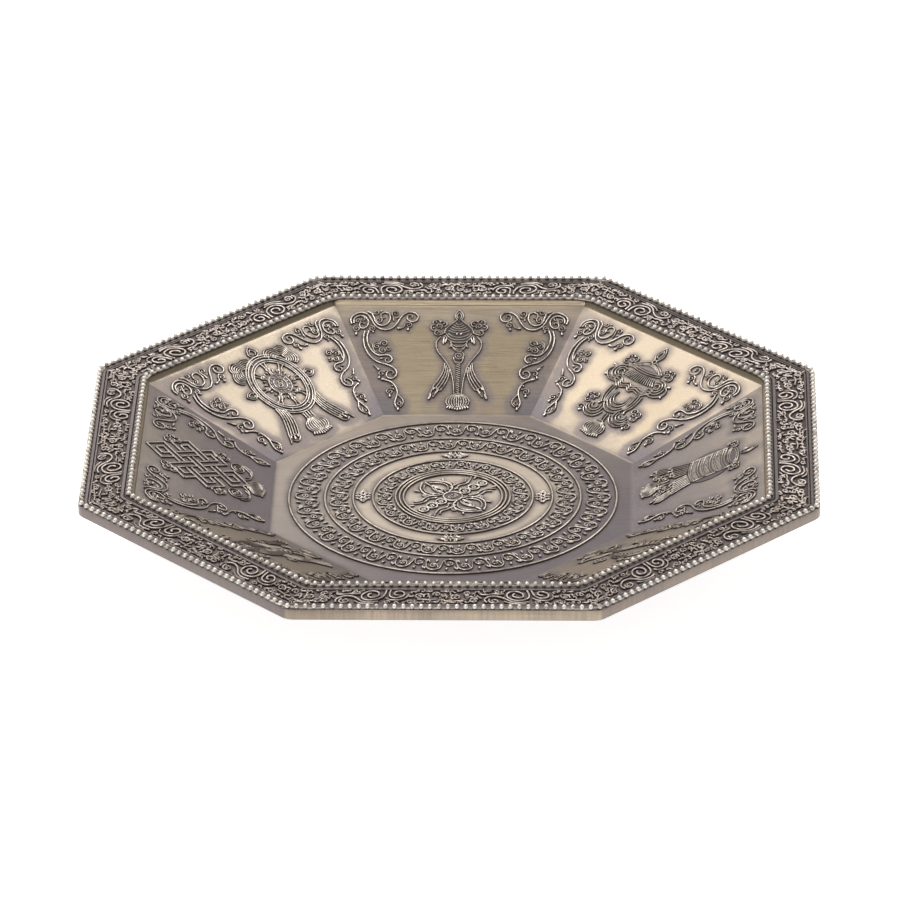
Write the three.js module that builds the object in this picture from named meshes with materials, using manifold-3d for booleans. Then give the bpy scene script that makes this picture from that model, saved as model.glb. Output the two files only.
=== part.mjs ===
// Octagonal fire offering dish of brass: a shallow pan with a flat rim, eight sloping walls and a
// round-ringed floor. Beaded wires, scroll friezes and relief ornaments are seated on the pan.
// Millimetres, +Z up, origin under the centre of the base. The side that faces -Y is the front.
import * as THREE from 'three';
import { mergeVertices } from 'three/addons/utils/BufferGeometryUtils.js';
import Module from 'manifold-3d';

const wasm = await Module();
wasm.setup();

// Pan sizes
const SIDES = 8;
const ACROSS_FLATS = 240;
const RIM_WIDTH = 16.6;
const SKIRT_HEIGHT = 4.0;
const SKIRT_WALL = 1.8;
const CORNER_RADIUS = 5;
const INNER_CORNER_RADIUS = 0.8;
const LIP_HEIGHT = 2.0;
const LIP_DRAFT = 0.9;
const WELL_DEPTH = 22.4;
const FLOOR_FLATS = 119;
const METAL = 2.2;
const EDGE_BREAK = 0.5;

// Beaded wires on the rim
const OUTER_BEADS_PER_SIDE = 35;
const INNER_BEADS_PER_SIDE = 32;
const BEAD_WIDTH = 1.7;
const BEAD_HEIGHT = 1.55;
const BEAD_NOTCH_HEIGHT = 0.5;
const OUTER_BEAD_INSET = 0.25;
const INNER_BEAD_INSET = 0.25;

// Scroll friezes on the rim
const FRIEZE_MARGIN = 1.2;
const FRIEZE_CHANNEL = 2.0;
const FRIEZE_HEIGHT = 0.8;
const FRIEZE_LINE = 1.3;
const SCROLL_PITCH = 46;
const SCROLL_MARGIN = 1.5;

// Relief ornaments on the walls, and the room that they keep to the wall's ends
const SEAT_GAP = 0.3;
const RELIEF_HEIGHT = 0.9;
const BOSS_HEIGHT = 1.2;
const HUB_HEIGHT = 1.5;
const SPRAY_LINE = 1.6;
const RELIEF_END_GAP = 2.2;
const RELIEF_FOOT_GAP = 0.65;
const GRID_ROWS = 43.2;
const GRID_COLUMNS_AT_FOOT = 24;

// Rings and bands on the floor, from the foot of the walls inwards
const RING_FOOT_GAP = 5.4;
const OUTER_BAND_WIDTH = 11.9;
const MIDDLE_BAND_WIDTH = 9.3;
const LEAF_BAND_WIDTH = 6.5;
const INNER_BAND_WIDTH = 8.8;
const RING_WIDTH = 0.9;
const RING_HEIGHT = 0.7;
const CENTRE_RING_WIDTH = 3.2;
const CENTRE_RING_HEIGHT = 1.0;
const BAND_HEIGHT = 0.6;
const BAND_MARGIN = 1.6;
const BAND_LINE = 0.9;
const LEAF_MARGIN = 1.5;
const LEAF_HEART = 1.1;
const BOLT_GAP = 3.4;
const RING_STEPS = 30;

// Levels and radii worked out from the sizes above
const HALF_SIDE = Math.PI / SIDES;
const APOTHEM = ACROSS_FLATS / 2;
const FLOOR_APOTHEM = FLOOR_FLATS / 2;
const FLOOR_Z = METAL;
const RIM_Z = FLOOR_Z + WELL_DEPTH;
const RIM_INNER = APOTHEM - RIM_WIDTH;
const LIP_APOTHEM = RIM_INNER - LIP_DRAFT;
const LIP_Z = RIM_Z - LIP_HEIGHT;
const WALL_RUN = LIP_APOTHEM - FLOOR_APOTHEM;
const WALL_DROP = LIP_Z - FLOOR_Z;
const WALL_SLOPE = Math.atan2(WALL_DROP, WALL_RUN);
const WALL_LENGTH = Math.hypot(WALL_RUN, WALL_DROP);
const LIP_HALF_WIDTH = LIP_APOTHEM * Math.tan(HALF_SIDE);
const FLOOR_HALF_WIDTH = FLOOR_APOTHEM * Math.tan(HALF_SIDE);
const OUTER_BEAD_APOTHEM = APOTHEM - OUTER_BEAD_INSET - BEAD_WIDTH / 2;
const INNER_BEAD_APOTHEM = RIM_INNER + INNER_BEAD_INSET + BEAD_WIDTH / 2;
const FRIEZE_OUTER = OUTER_BEAD_APOTHEM - BEAD_WIDTH / 2 - FRIEZE_MARGIN;
const FRIEZE_INNER = INNER_BEAD_APOTHEM + BEAD_WIDTH / 2 + FRIEZE_CHANNEL;
const OUTER_RING = FLOOR_APOTHEM - RING_FOOT_GAP;
const SECOND_RING = OUTER_RING - OUTER_BAND_WIDTH;
const THIRD_RING = SECOND_RING - MIDDLE_BAND_WIDTH;
const FOURTH_RING = THIRD_RING - LEAF_BAND_WIDTH;
const CENTRE_RING = FOURTH_RING - INNER_BAND_WIDTH;
const SIDE_NAMES = ['east', 'northeast', 'north', 'northwest', 'west', 'southwest', 'south', 'southeast'];

// Finishes
const PAN_BRASS = new THREE.MeshStandardMaterial({ color: 0xa08f78, roughness: 0.42, metalness: 0.85 });
const BEAD_BRASS = new THREE.MeshStandardMaterial({ color: 0xb5a688, roughness: 0.35, metalness: 0.9 });
const RELIEF_BRASS = new THREE.MeshStandardMaterial({ color: 0xac9d8a, roughness: 0.4, metalness: 0.85 });
const FRIEZE_BRASS = new THREE.MeshStandardMaterial({ color: 0x8d7c6b, roughness: 0.45, metalness: 0.85 });

// The reliefs are drawn on a grid whose unit is about a millimetre, and grows or shrinks with the wall.
const GRID_UNIT = Math.min(
  (WALL_LENGTH - 2 * RELIEF_END_GAP) / GRID_ROWS,
  (FLOOR_HALF_WIDTH - RELIEF_FOOT_GAP) / GRID_COLUMNS_AT_FOOT,
);

const dish = new THREE.Group();

// A closed mesh as a solid, and a solid back as a mesh.
function solidOf(geometry) {
  const bare = new THREE.BufferGeometry();
  bare.setAttribute('position', geometry.getAttribute('position').clone());
  if (geometry.index) bare.setIndex(geometry.index.clone());
  const merged = mergeVertices(bare, 1e-4);
  return new wasm.Manifold(new wasm.Mesh({
    numProp: 3,
    vertProperties: new Float32Array(merged.getAttribute('position').array),
    triVerts: new Uint32Array(merged.index.array),
  }));
}

function geometryOf(solid) {
  const mesh = solid.getMesh();
  const geometry = new THREE.BufferGeometry();
  geometry.setAttribute('position', new THREE.BufferAttribute(new Float32Array(mesh.vertProperties), 3));
  geometry.setIndex(new THREE.BufferAttribute(new Uint32Array(mesh.triVerts), 1));
  geometry.computeVertexNormals();
  return geometry;
}

function addPiece(parent, name, geometry, material) {
  const mesh = new THREE.Mesh(geometry, material);
  mesh.name = name;
  parent.add(mesh);
  return mesh;
}

// Points of an octagon with rounded corners, anticlockwise, as many for every octagon.
function roundedOctagon(apothem, radius, stepsPerCorner) {
  const points = [];
  const toCentre = (apothem - radius) / Math.cos(HALF_SIDE);
  for (let corner = 0; corner < SIDES; corner += 1) {
    const middle = (corner + 0.5) * 2 * HALF_SIDE;
    for (let step = 0; step <= stepsPerCorner; step += 1) {
      const angle = middle + (step / stepsPerCorner - 0.5) * 2 * HALF_SIDE;
      points.push(new THREE.Vector2(
        toCentre * Math.cos(middle) + radius * Math.cos(angle),
        toCentre * Math.sin(middle) + radius * Math.sin(angle),
      ));
    }
  }
  return points;
}

// A closed skin through rings of equal length, with flat caps over the first and last ring.
function loftRings(rings) {
  const count = rings[0].length;
  const positions = [];
  const index = [];
  for (const ring of rings) for (const p of ring) positions.push(p.x, p.y, p.z);
  for (let r = 0; r + 1 < rings.length; r += 1) {
    for (let i = 0; i < count; i += 1) {
      const a = r * count + i;
      const b = r * count + (i + 1) % count;
      index.push(a, b, b + count, a, b + count, a + count);
    }
  }
  for (const [ring, turned] of [[0, true], [rings.length - 1, false]]) {
    const centre = positions.length / 3;
    positions.push(0, 0, rings[ring][0].z);
    for (let i = 0; i < count; i += 1) {
      const a = ring * count + i;
      const b = ring * count + (i + 1) % count;
      index.push(...(turned ? [centre, b, a] : [centre, a, b]));
    }
  }
  const geometry = new THREE.BufferGeometry();
  geometry.setAttribute('position', new THREE.Float32BufferAttribute(positions, 3));
  geometry.setIndex(index);
  return geometry;
}

// The pan: one section of (apothem, level, corner radius) carried round the octagon.
function panGeometry() {
  const slopeShift = METAL * Math.tan(WALL_SLOPE / 2);
  const underWall = METAL / Math.cos(WALL_SLOPE);
  const underRim = RIM_Z - METAL;
  const wallFoot = FLOOR_APOTHEM + slopeShift;
  const wallHead = wallFoot + (underRim * WALL_RUN) / WALL_DROP;
  const skirtFoot = RIM_Z - SKIRT_HEIGHT;
  const section = [
    [wallFoot, 0, INNER_CORNER_RADIUS],
    [Math.min(wallHead, LIP_APOTHEM + underWall), underRim, INNER_CORNER_RADIUS],
    [APOTHEM - SKIRT_WALL, underRim, CORNER_RADIUS - SKIRT_WALL],
    [APOTHEM - SKIRT_WALL, skirtFoot, CORNER_RADIUS - SKIRT_WALL],
    [APOTHEM - EDGE_BREAK, skirtFoot, CORNER_RADIUS - EDGE_BREAK],
    [APOTHEM, skirtFoot + EDGE_BREAK, CORNER_RADIUS],
    [APOTHEM, RIM_Z - EDGE_BREAK, CORNER_RADIUS],
    [APOTHEM - EDGE_BREAK, RIM_Z, CORNER_RADIUS - EDGE_BREAK],
    [RIM_INNER, RIM_Z, INNER_CORNER_RADIUS],
    [LIP_APOTHEM, LIP_Z, INNER_CORNER_RADIUS],
    [FLOOR_APOTHEM, FLOOR_Z, INNER_CORNER_RADIUS],
  ];
  const cornerSteps = 2;
  return loftRings(section.map(([apothem, z, radius]) => (
    roundedOctagon(apothem, radius, cornerSteps).map((p) => new THREE.Vector3(p.x, p.y, z)))));
}

// A wire of triangular section, flat underneath, through stations of place, direction, width and height.
function wireGeometry(stations, level, closed) {
  const positions = [];
  const index = [];
  for (const { at, along, width, height } of stations) {
    const half = width / 2;
    positions.push(at.x + along.y * half, at.y - along.x * half, level);
    positions.push(at.x, at.y, level + height);
    positions.push(at.x - along.y * half, at.y + along.x * half, level);
  }
  const spans = closed ? stations.length : stations.length - 1;
  for (let i = 0; i < spans; i += 1) {
    const next = (i + 1) % stations.length;
    for (let k = 0; k < 3; k += 1) {
      const after = (k + 1) % 3;
      index.push(i * 3 + k, i * 3 + after, next * 3 + after);
      index.push(i * 3 + k, next * 3 + after, next * 3 + k);
    }
  }
  if (!closed) index.push(0, 2, 1, spans * 3, spans * 3 + 1, spans * 3 + 2);
  const geometry = new THREE.BufferGeometry();
  geometry.setAttribute('position', new THREE.Float32BufferAttribute(positions, 3));
  geometry.setIndex(index);
  return turnedOutward(geometry);
}

// A beaded wire: a closed run of faceted beads, each with its peak over its two feet and a notch after it.
function beadedWireGeometry(apothem, cornerRadius, beads) {
  const outline = new THREE.CurvePath();
  const corners = roundedOctagon(apothem, cornerRadius, 4);
  corners.forEach((p, i) => outline.add(new THREE.LineCurve(p, corners[(i + 1) % corners.length])));
  const positions = [];
  const index = [];
  for (let i = 0; i < beads; i += 1) {
    const at = outline.getPointAt(i / beads);
    const along = outline.getTangentAt(i / beads);
    const notchAt = outline.getPointAt((i + 0.5) / beads);
    const half = BEAD_WIDTH / 2;
    positions.push(at.x + along.y * half, at.y - along.x * half, RIM_Z);
    positions.push(at.x, at.y, RIM_Z + BEAD_HEIGHT);
    positions.push(at.x - along.y * half, at.y + along.x * half, RIM_Z);
    positions.push(notchAt.x, notchAt.y, RIM_Z + BEAD_NOTCH_HEIGHT);
    const [outer, peak, inner, notch] = [0, 1, 2, 3].map((k) => 4 * i + k);
    const [nextOuter, nextPeak, nextInner] = [0, 1, 2].map((k) => 4 * ((i + 1) % beads) + k);
    index.push(outer, peak, notch, outer, notch, nextOuter, nextOuter, notch, nextPeak);
    index.push(inner, notch, peak, inner, nextInner, notch, nextInner, nextPeak, notch);
    index.push(outer, nextOuter, nextInner, outer, nextInner, inner);
  }
  const geometry = new THREE.BufferGeometry();
  geometry.setAttribute('position', new THREE.Float32BufferAttribute(positions, 3));
  geometry.setIndex(index);
  return turnedOutward(geometry);
}

// The same closed mesh with its faces pointing out.
function turnedOutward(geometry) {
  const p = geometry.getAttribute('position');
  const index = geometry.index.array;
  let volume = 0;
  for (let i = 0; i < index.length; i += 3) {
    const [a, b, c] = [0, 1, 2].map((k) => new THREE.Vector3().fromBufferAttribute(p, index[i + k]));
    volume += a.dot(b.cross(c));
  }
  if (volume < 0) {
    for (let i = 0; i < index.length; i += 3) [index[i], index[i + 1]] = [index[i + 1], index[i]];
  }
  return geometry;
}

// Relief shapes, drawn in the plane of what they lie on.
function plate(points, height = RELIEF_HEIGHT) {
  const shape = new THREE.Shape(points.map(([x, y]) => new THREE.Vector2(x, y)));
  return solidOf(new THREE.ExtrudeGeometry(shape, { depth: height, bevelEnabled: false, steps: 1 }));
}

// A low cone.
function boss(x, y, radius, height = RELIEF_HEIGHT, sides = 6) {
  const cone = new THREE.ConeGeometry(radius, height, sides);
  cone.rotateX(Math.PI / 2);
  cone.translate(x, y, height / 2);
  return solidOf(cone);
}

// A ridge along a smooth line through points.
function ridge(points, width, endWidth = width, steps = 1, height = RELIEF_HEIGHT) {
  const curve = new THREE.SplineCurve(points.map(([x, y]) => new THREE.Vector2(x, y)));
  const count = (points.length - 1) * steps;
  const stations = Array.from({ length: count + 1 }, (_, i) => {
    const t = i / count;
    return {
      at: curve.getPoint(t),
      along: curve.getTangent(t),
      width: THREE.MathUtils.lerp(width, endWidth, t),
      height,
    };
  });
  return solidOf(wireGeometry(stations, 0, false));
}

// A straight flat bar between two points.
function bar([x1, y1], [x2, y2], width) {
  const across = new THREE.Vector2(y1 - y2, x2 - x1).setLength(width / 2);
  return plate([
    [x1 + across.x, y1 + across.y],
    [x1 - across.x, y1 - across.y],
    [x2 - across.x, y2 - across.y],
    [x2 + across.x, y2 + across.y],
  ]);
}

// A leaf or flame, pointed at both ends, from its root towards an angle.
function petal(x, y, angle, length, width, height = RELIEF_HEIGHT) {
  const c = Math.cos(angle);
  const s = Math.sin(angle);
  const outline = [[0, 0], [0.4, 0.5], [1, 0], [0.4, -0.5]];
  return plate(outline.map(([u, v]) => [
    x + u * length * c - v * width * s,
    y + u * length * s + v * width * c,
  ]), height);
}

// The shapes given for one half and their mirror images.
function both(makeHalf) {
  return [...makeHalf(1), ...makeHalf(-1)];
}

function joined(solids) {
  return solids.reduce((whole, solid) => whole.add(solid));
}

// The lotus bud and stem that every emblem ends in below.
function foot(stemTop) {
  return [
    ridge([[0, stemTop], [0, -16]], 2, 1.8),
    boss(0, -17.9, 3.7, BOSS_HEIGHT, 8),
  ];
}

// Emblems, drawn in grid units round the middle of a wall: x to the right, y up the slope.
function parasol() {
  return [
    petal(0, 14.6, Math.PI / 2, 6.2, 3.2),
    plate([[0, 16], [4.2, 13], [6.6, 9.6], [0, 6], [-6.6, 9.6], [-4.2, 13]]),
    ridge([[-6.4, 11], [0, 7.4], [6.4, 11]], 1, 1, 2, BOSS_HEIGHT),
    ridge([[-4.6, 8.2], [0, 3.4], [4.6, 8.2]], 1.2, 1.2, 2),
    boss(0, 1.6, 2.2, BOSS_HEIGHT),
    ...foot(6),
    ...both((m) => [
      boss(m * 7.2, 12.4, 2.9, BOSS_HEIGHT, 7),
      ridge([[m * 7, 10], [m * 8, 5], [m * 4.4, -1.6], [m * 2, -9], [m * 1, -16.4]], 0.9, 0.9),
      ridge([[m * 3.6, -2.6], [m * 5.2, -9], [m * 8.8, -16.6]], 1.6, 3),
    ]),
  ];
}

function wheel() {
  const [across, tall] = [10.2, 13];
  const centreY = 2.6;
  const line = 2;
  const around = Array.from({ length: 16 }, (_, i) => (i / 16) * 2 * Math.PI);
  const rim = solidOf(wireGeometry(around.map((angle) => ({
    at: new THREE.Vector2(across * Math.cos(angle), centreY + tall * Math.sin(angle)),
    along: new THREE.Vector2(-across * Math.sin(angle), tall * Math.cos(angle)).normalize(),
    width: line,
    height: BOSS_HEIGHT,
  })), 0, true));
  const spokes = [0, 1, 2, 3].map((k) => {
    const [dx, dy] = [across * Math.cos((k * Math.PI) / 4), tall * Math.sin((k * Math.PI) / 4)];
    return bar([-dx, centreY - dy], [dx, centreY + dy], 1.2);
  });
  return [
    rim,
    ...spokes,
    boss(0, centreY, 3.6, HUB_HEIGHT, 8),
    petal(0, centreY + tall, Math.PI / 2, 4.6, 4),
    ...foot(centreY - tall),
    ...both((m) => [
      petal(m * across, centreY, m > 0 ? 0 : Math.PI, 4.6, 3.6),
      boss(m * 8.8, 13.6, 3.3),
      ridge([[m * 7.4, -6], [m * 9.6, -12], [m * 14, -19.6]], 3.4, 1.8),
    ]),
  ];
}

function vase() {
  return [
    petal(0, 14.4, Math.PI / 2, 7, 3.2),
    ridge([[-6.4, 10.6], [0, 14.6], [6.4, 10.6]], 1, 1, 2),
    plate([[-6, 11.2], [6, 11.2], [11.4, 4.6], [5, 3], [0, 1.6], [-5, 3], [-11.4, 4.6]], BOSS_HEIGHT),
    plate([[-6, 3.2], [6, 3.2], [6.8, -2], [2.4, -10.4], [-2.4, -10.4], [-6.8, -2]]),
    ...foot(-9.8),
    ...both((m) => [
      boss(m * 7.4, 11.6, 2, BOSS_HEIGHT),
      boss(m * 11.2, 6, 2.2, BOSS_HEIGHT),
      ridge([[m * 2.6, -9.2], [m * 6, -13], [m * 9.4, -12], [m * 11.2, -8.2]], 2.6, 1.8),
      boss(m * 10.8, -7.4, 2.2),
    ]),
  ];
}

function banner() {
  const tiers = [0, 1, 2].map((k) => ridge(
    [[-7.6, 8.6 - k * 4.4], [0, 7.4 - k * 4.4], [7.6, 8.6 - k * 4.4]], 1.4, 1.4, 1, HUB_HEIGHT));
  return [
    petal(0, 14.4, Math.PI / 2, 7, 3),
    plate([[-7, 10.6], [-5.4, 14], [0, 15.4], [5.4, 14], [7, 10.6]], BOSS_HEIGHT),
    plate([[-7, 10.8], [7, 10.8], [7.6, -2.8], [9.4, -9.4], [0, -8.4], [-9.4, -9.4], [-7.6, -2.8]]),
    ...tiers,
    ...foot(-8.2),
    ...both((m) => [
      boss(m * 8, 12, 2),
      ridge([[m * 5.6, -8], [m * 8, -13], [m * 11, -18.4]], 2.6, 3.4),
    ]),
  ];
}

function knot() {
  const [stepX, stepY] = [4.2, 5.4];
  const centreY = 3.4;
  const bars = [-1, 0, 1].flatMap((k) => [1, -1].map((m) => bar(
    [m * (k - 1.6) * stepX, centreY + (k + 1.6) * stepY],
    [m * (k + 1.6) * stepX, centreY + (k - 1.6) * stepY], 1.5)));
  return [
    ...bars,
    ...foot(centreY - 2.4 * stepY),
    ...both((m) => [
      boss(m * 9.4, 12, 2.8),
      ridge([[m * 5.4, 8.8], [m * 9, 12]], 1.8),
      boss(m * 11.4, -6, 2.6),
      ridge([[m * 0.4, -13], [m * 7, -14.8], [m * 11.4, -6.8]], 2.2, 1.8, 2),
    ]),
  ];
}

function conch() {
  return [
    plate([[0, 19], [6.6, 9], [6.8, 2], [0, -11.6], [-6.8, 2], [-6.6, 9]]),
    boss(0, 5.4, 5, HUB_HEIGHT, 8),
    ridge([[-3, 15.6], [0, 12.6], [3, 15.6]], 1.2, 1.2, 1, BOSS_HEIGHT),
    ...foot(-10.6),
    ...both((m) => [
      ridge([[m * 4, 0], [m * 9, -3], [m * 9.6, -10], [m * 12.4, -16]], 2, 2.6),
      boss(m * 7, 11.4, 2.8),
    ]),
  ];
}

function lotus() {
  const petals = [-2, -1, 0, 1, 2].map((k) => {
    const outwards = Math.abs(k);
    const height = THREE.MathUtils.lerp(BOSS_HEIGHT, RELIEF_HEIGHT, outwards / 2);
    return petal(k * 1.6, -2, Math.PI / 2 - k * 0.42, 15.5 - outwards * 1.8, 7, height);
  });
  return [
    ...petals,
    boss(0, -1.6, 3.8, HUB_HEIGHT, 8),
    ...foot(-4),
    ...both((m) => [
      ridge([[m * 1, -6], [m * 6, -6.6], [m * 9.6, -2.4]], 1.8, 1.8, 2),
      boss(m * 9.8, -1.8, 2.2),
      ridge([[m * 0.6, -9.6], [m * 6, -13], [m * 10.4, -17]], 1.8, 2.8),
    ]),
  ];
}

function fishes() {
  return [
    boss(0, 10.4, 2.8, BOSS_HEIGHT, 8),
    petal(0, 11.4, Math.PI / 2, 7.6, 3),
    ...foot(10),
    ...both((m) => [
      ridge([[m * 3, 15.4], [m * 7.6, 10], [m * 7, 2], [m * 1.6, -5]], 2.4, 4, 2, BOSS_HEIGHT),
      ridge([[m * 1.6, -4], [m * 5.4, -9.6]], 2.2, 5),
      ridge([[m * 0.4, 9.6], [m * 4.6, 13.8]], 1.8),
      ridge([[m * 0.4, -12.4], [m * 5, -15], [m * 9, -12.6]], 1.8, 2.6, 2),
    ]),
  ];
}

const EMBLEMS = [
  ['victory_banner', banner],
  ['treasure_vase', vase],
  ['parasol', parasol],
  ['wheel', wheel],
  ['endless_knot', knot],
  ['conch', conch],
  ['lotus', lotus],
  ['paired_fishes', fishes],
];

// Points of a spiral round a centre, from its first radius and angle to its last, in degrees.
function spiral(x, y, [firstRadius, lastRadius], [firstAngle, lastAngle], count) {
  return Array.from({ length: count }, (_, i) => {
    const t = i / (count - 1);
    const radius = THREE.MathUtils.lerp(firstRadius, lastRadius, t);
    const angle = THREE.MathUtils.degToRad(THREE.MathUtils.lerp(firstAngle, lastAngle, t));
    return [x + radius * Math.cos(angle), y + radius * Math.sin(angle)];
  });
}

// A spray in the upper corner of a wall: one scroll that curls beside the emblem, runs along the lip, turns
// round the corner and ends in a curl at the wall's foot. Its points are given as their way in from the
// crease between two walls, and down from the lip.
function spray(m) {
  const halfWidthAt = (down) => (
    LIP_HALF_WIDTH - ((LIP_HALF_WIDTH - FLOOR_HALF_WIDTH) * down * GRID_UNIT) / WALL_LENGTH);
  const stem = [
    ...spiral(22.4, 5.8, [0.8, 2.9], [240, -120], 8),
    [16.8, 7.6], [13, 10.4], [9.8, 8.4],
    ...spiral(5.4, 7, [3.7, 3.7], [-30, -220], 5),
    [3.6, 14], [4.2, 19.4], [7, 24.4], [10, 28], [8.4, 32.4], [7.8, 36.4],
    ...spiral(6, 41, [2.4, 0.8], [-60, 270], 7),
  ];
  return ridge(stem.map(([inward, down]) => [
    m * (halfWidthAt(down) / GRID_UNIT - inward),
    WALL_LENGTH / 2 / GRID_UNIT - down,
  ]), SPRAY_LINE / GRID_UNIT);
}

// One side's frieze on the rim: a waving stem with a large scroll on each half and a small one at each end.
function frieze() {
  const middle = (FRIEZE_OUTER + FRIEZE_INNER) / 2;
  const width = FRIEZE_OUTER - FRIEZE_INNER;
  const halfLength = FRIEZE_INNER * Math.tan(HALF_SIDE);
  const stride = SCROLL_PITCH / 6;
  const reach = Math.floor((halfLength - SCROLL_MARGIN) / stride);
  const turns = Array.from({ length: 2 * reach + 1 }, (_, i) => i - reach);
  const swing = width / 2 - FRIEZE_LINE;
  const points = turns.map((i) => [i * stride, middle + swing * Math.cos((i * Math.PI) / 2)]);
  const stem = ridge(points, FRIEZE_LINE, FRIEZE_LINE, 2, FRIEZE_HEIGHT);
  const scrolls = both((m) => [boss(m * 3 * stride, middle, width / 2 - SCROLL_MARGIN, FRIEZE_HEIGHT)]);
  const ends = [points[0], points[2 * reach]].map(([x, y]) => boss(x, y, SCROLL_MARGIN, FRIEZE_HEIGHT));
  return joined([stem, ...scrolls, ...ends]);
}

// A raised wire ring on the floor, closed on itself.
function ringGeometry(radius, width = RING_WIDTH, height = RING_HEIGHT) {
  return roundWire(RING_STEPS, () => radius, width, height);
}

// A band of ornament between two rings: a vine that turns from one ring to the other twice in each wave.
function vineGeometry(inner, outer, waves) {
  const swing = (outer - inner) / 2 - BAND_MARGIN;
  const radiusOf = (i) => (inner + outer) / 2 + (i % 4 < 2 ? swing : -swing);
  return roundWire(waves * 4, radiusOf, BAND_LINE, BAND_HEIGHT);
}

// A wire on the floor round the middle, at a radius for each of its steps.
function roundWire(count, radiusOf, width, height) {
  const stations = Array.from({ length: count }, (_, i) => {
    const outwards = new THREE.Vector2(1, 0).rotateAround(new THREE.Vector2(), (i / count) * 2 * Math.PI);
    return {
      at: outwards.clone().multiplyScalar(radiusOf(i)),
      along: new THREE.Vector2(-outwards.y, outwards.x),
      width,
      height,
    };
  });
  return wireGeometry(stations, FLOOR_Z, true);
}

// The crossed thunderbolts in the middle of the floor.
function crossedBolts() {
  const reach = CENTRE_RING - CENTRE_RING_WIDTH / 2 - BOLT_GAP;
  const arms = [0, 1, 2, 3].flatMap((k) => {
    const angle = Math.PI / 4 + (k * Math.PI) / 2;
    const [c, s] = [Math.cos(angle), Math.sin(angle)];
    return [
      ridge([[0, 0], [0.7 * reach * c, 0.7 * reach * s]], 2, 1.4, 1, BOSS_HEIGHT),
      petal(0.35 * reach * c, 0.35 * reach * s, angle, 0.65 * reach, 0.5 * reach, BAND_HEIGHT),
    ];
  });
  return joined([boss(0, 0, 0.28 * reach, BOSS_HEIGHT, 8), ...arms]);
}

// A small four-pointed leaf that lies along the band between the third and the fourth ring.
function leaf(turn) {
  const radius = (THIRD_RING + FOURTH_RING) / 2;
  const centre = new THREE.Vector2(radius, 0);
  const reach = LEAF_BAND_WIDTH / 2 - LEAF_MARGIN;
  const points = Array.from({ length: 8 }, (_, i) => {
    const tip = i % 4 === 0 ? reach : 2 * reach;
    const point = new THREE.Vector2(i % 2 === 0 ? tip : LEAF_HEART, 0);
    return point.rotateAround(new THREE.Vector2(), (i * Math.PI) / 4).add(centre);
  });
  return plate(points.map((p) => p.rotateAround(new THREE.Vector2(), turn).toArray()), BAND_HEIGHT);
}

addPiece(dish, 'dish_pan', panGeometry(), PAN_BRASS);
const outerBends = CORNER_RADIUS - OUTER_BEAD_INSET - BEAD_WIDTH / 2;
const innerBends = INNER_CORNER_RADIUS + INNER_BEAD_INSET + BEAD_WIDTH / 2;
const outerBeads = beadedWireGeometry(OUTER_BEAD_APOTHEM, outerBends, SIDES * OUTER_BEADS_PER_SIDE);
const innerBeads = beadedWireGeometry(INNER_BEAD_APOTHEM, innerBends, SIDES * INNER_BEADS_PER_SIDE);
addPiece(dish, 'outer_beading', outerBeads, BEAD_BRASS);
addPiece(dish, 'inner_beading', innerBeads, BEAD_BRASS);

const friezeSolid = frieze();
SIDE_NAMES.forEach((side, k) => {
  const facing = new THREE.Group();
  facing.rotation.z = k * 2 * HALF_SIDE - Math.PI / 2;
  dish.add(facing);
  const onRim = new THREE.Group();
  onRim.position.z = RIM_Z;
  facing.add(onRim);
  addPiece(onRim, `rim_frieze_${side}`, geometryOf(friezeSolid), FRIEZE_BRASS);
  const onWall = new THREE.Group();
  onWall.position.set(0, (LIP_APOTHEM + FLOOR_APOTHEM) / 2, (LIP_Z + FLOOR_Z) / 2);
  onWall.rotation.x = WALL_SLOPE;
  facing.add(onWall);
  const [emblemName, draw] = EMBLEMS[k];
  const pieces = [
    [`emblem_${emblemName}`, joined(draw())],
    [`spray_${side}_left`, spray(-1)],
    [`spray_${side}_right`, spray(1)],
  ];
  for (const [name, solid] of pieces) {
    const geometry = geometryOf(solid).scale(GRID_UNIT, GRID_UNIT, 1);
    addPiece(onWall, name, geometry, RELIEF_BRASS).position.z = SEAT_GAP;
  }
});

[OUTER_RING, SECOND_RING, THIRD_RING, FOURTH_RING].forEach((radius, i) => {
  addPiece(dish, `floor_ring_${i + 1}`, ringGeometry(radius), BEAD_BRASS);
});
addPiece(dish, 'centre_ring', ringGeometry(CENTRE_RING, CENTRE_RING_WIDTH, CENTRE_RING_HEIGHT), BEAD_BRASS);
addPiece(dish, 'outer_vine_band', vineGeometry(SECOND_RING, OUTER_RING, 13), RELIEF_BRASS);
addPiece(dish, 'middle_vine_band', vineGeometry(THIRD_RING, SECOND_RING, 12), RELIEF_BRASS);
const centreRingEdge = CENTRE_RING + CENTRE_RING_WIDTH / 2;
addPiece(dish, 'inner_vine_band', vineGeometry(centreRingEdge, FOURTH_RING, 8), RELIEF_BRASS);

const onFloor = new THREE.Group();
onFloor.position.z = FLOOR_Z;
dish.add(onFloor);
addPiece(onFloor, 'centre_crossed_bolts', geometryOf(crossedBolts()), RELIEF_BRASS);
['east', 'north', 'west', 'south'].forEach((side, k) => {
  addPiece(onFloor, `floor_leaf_${side}`, geometryOf(leaf((k * Math.PI) / 2)), RELIEF_BRASS);
});

export default dish;
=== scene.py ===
"""Octagonal brass offering dish: relief, finish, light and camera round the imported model.

Every piece is modelled in millimetres about the dish's axis and is scaled to metres when it is done. Motifs
are drawn flat, as ridges with a width at each point, and are then laid on a wall, on the rim or on the floor.
"""
import math
import bmesh
import bpy
import numpy as np
from mathutils import Matrix, Vector, kdtree


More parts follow.
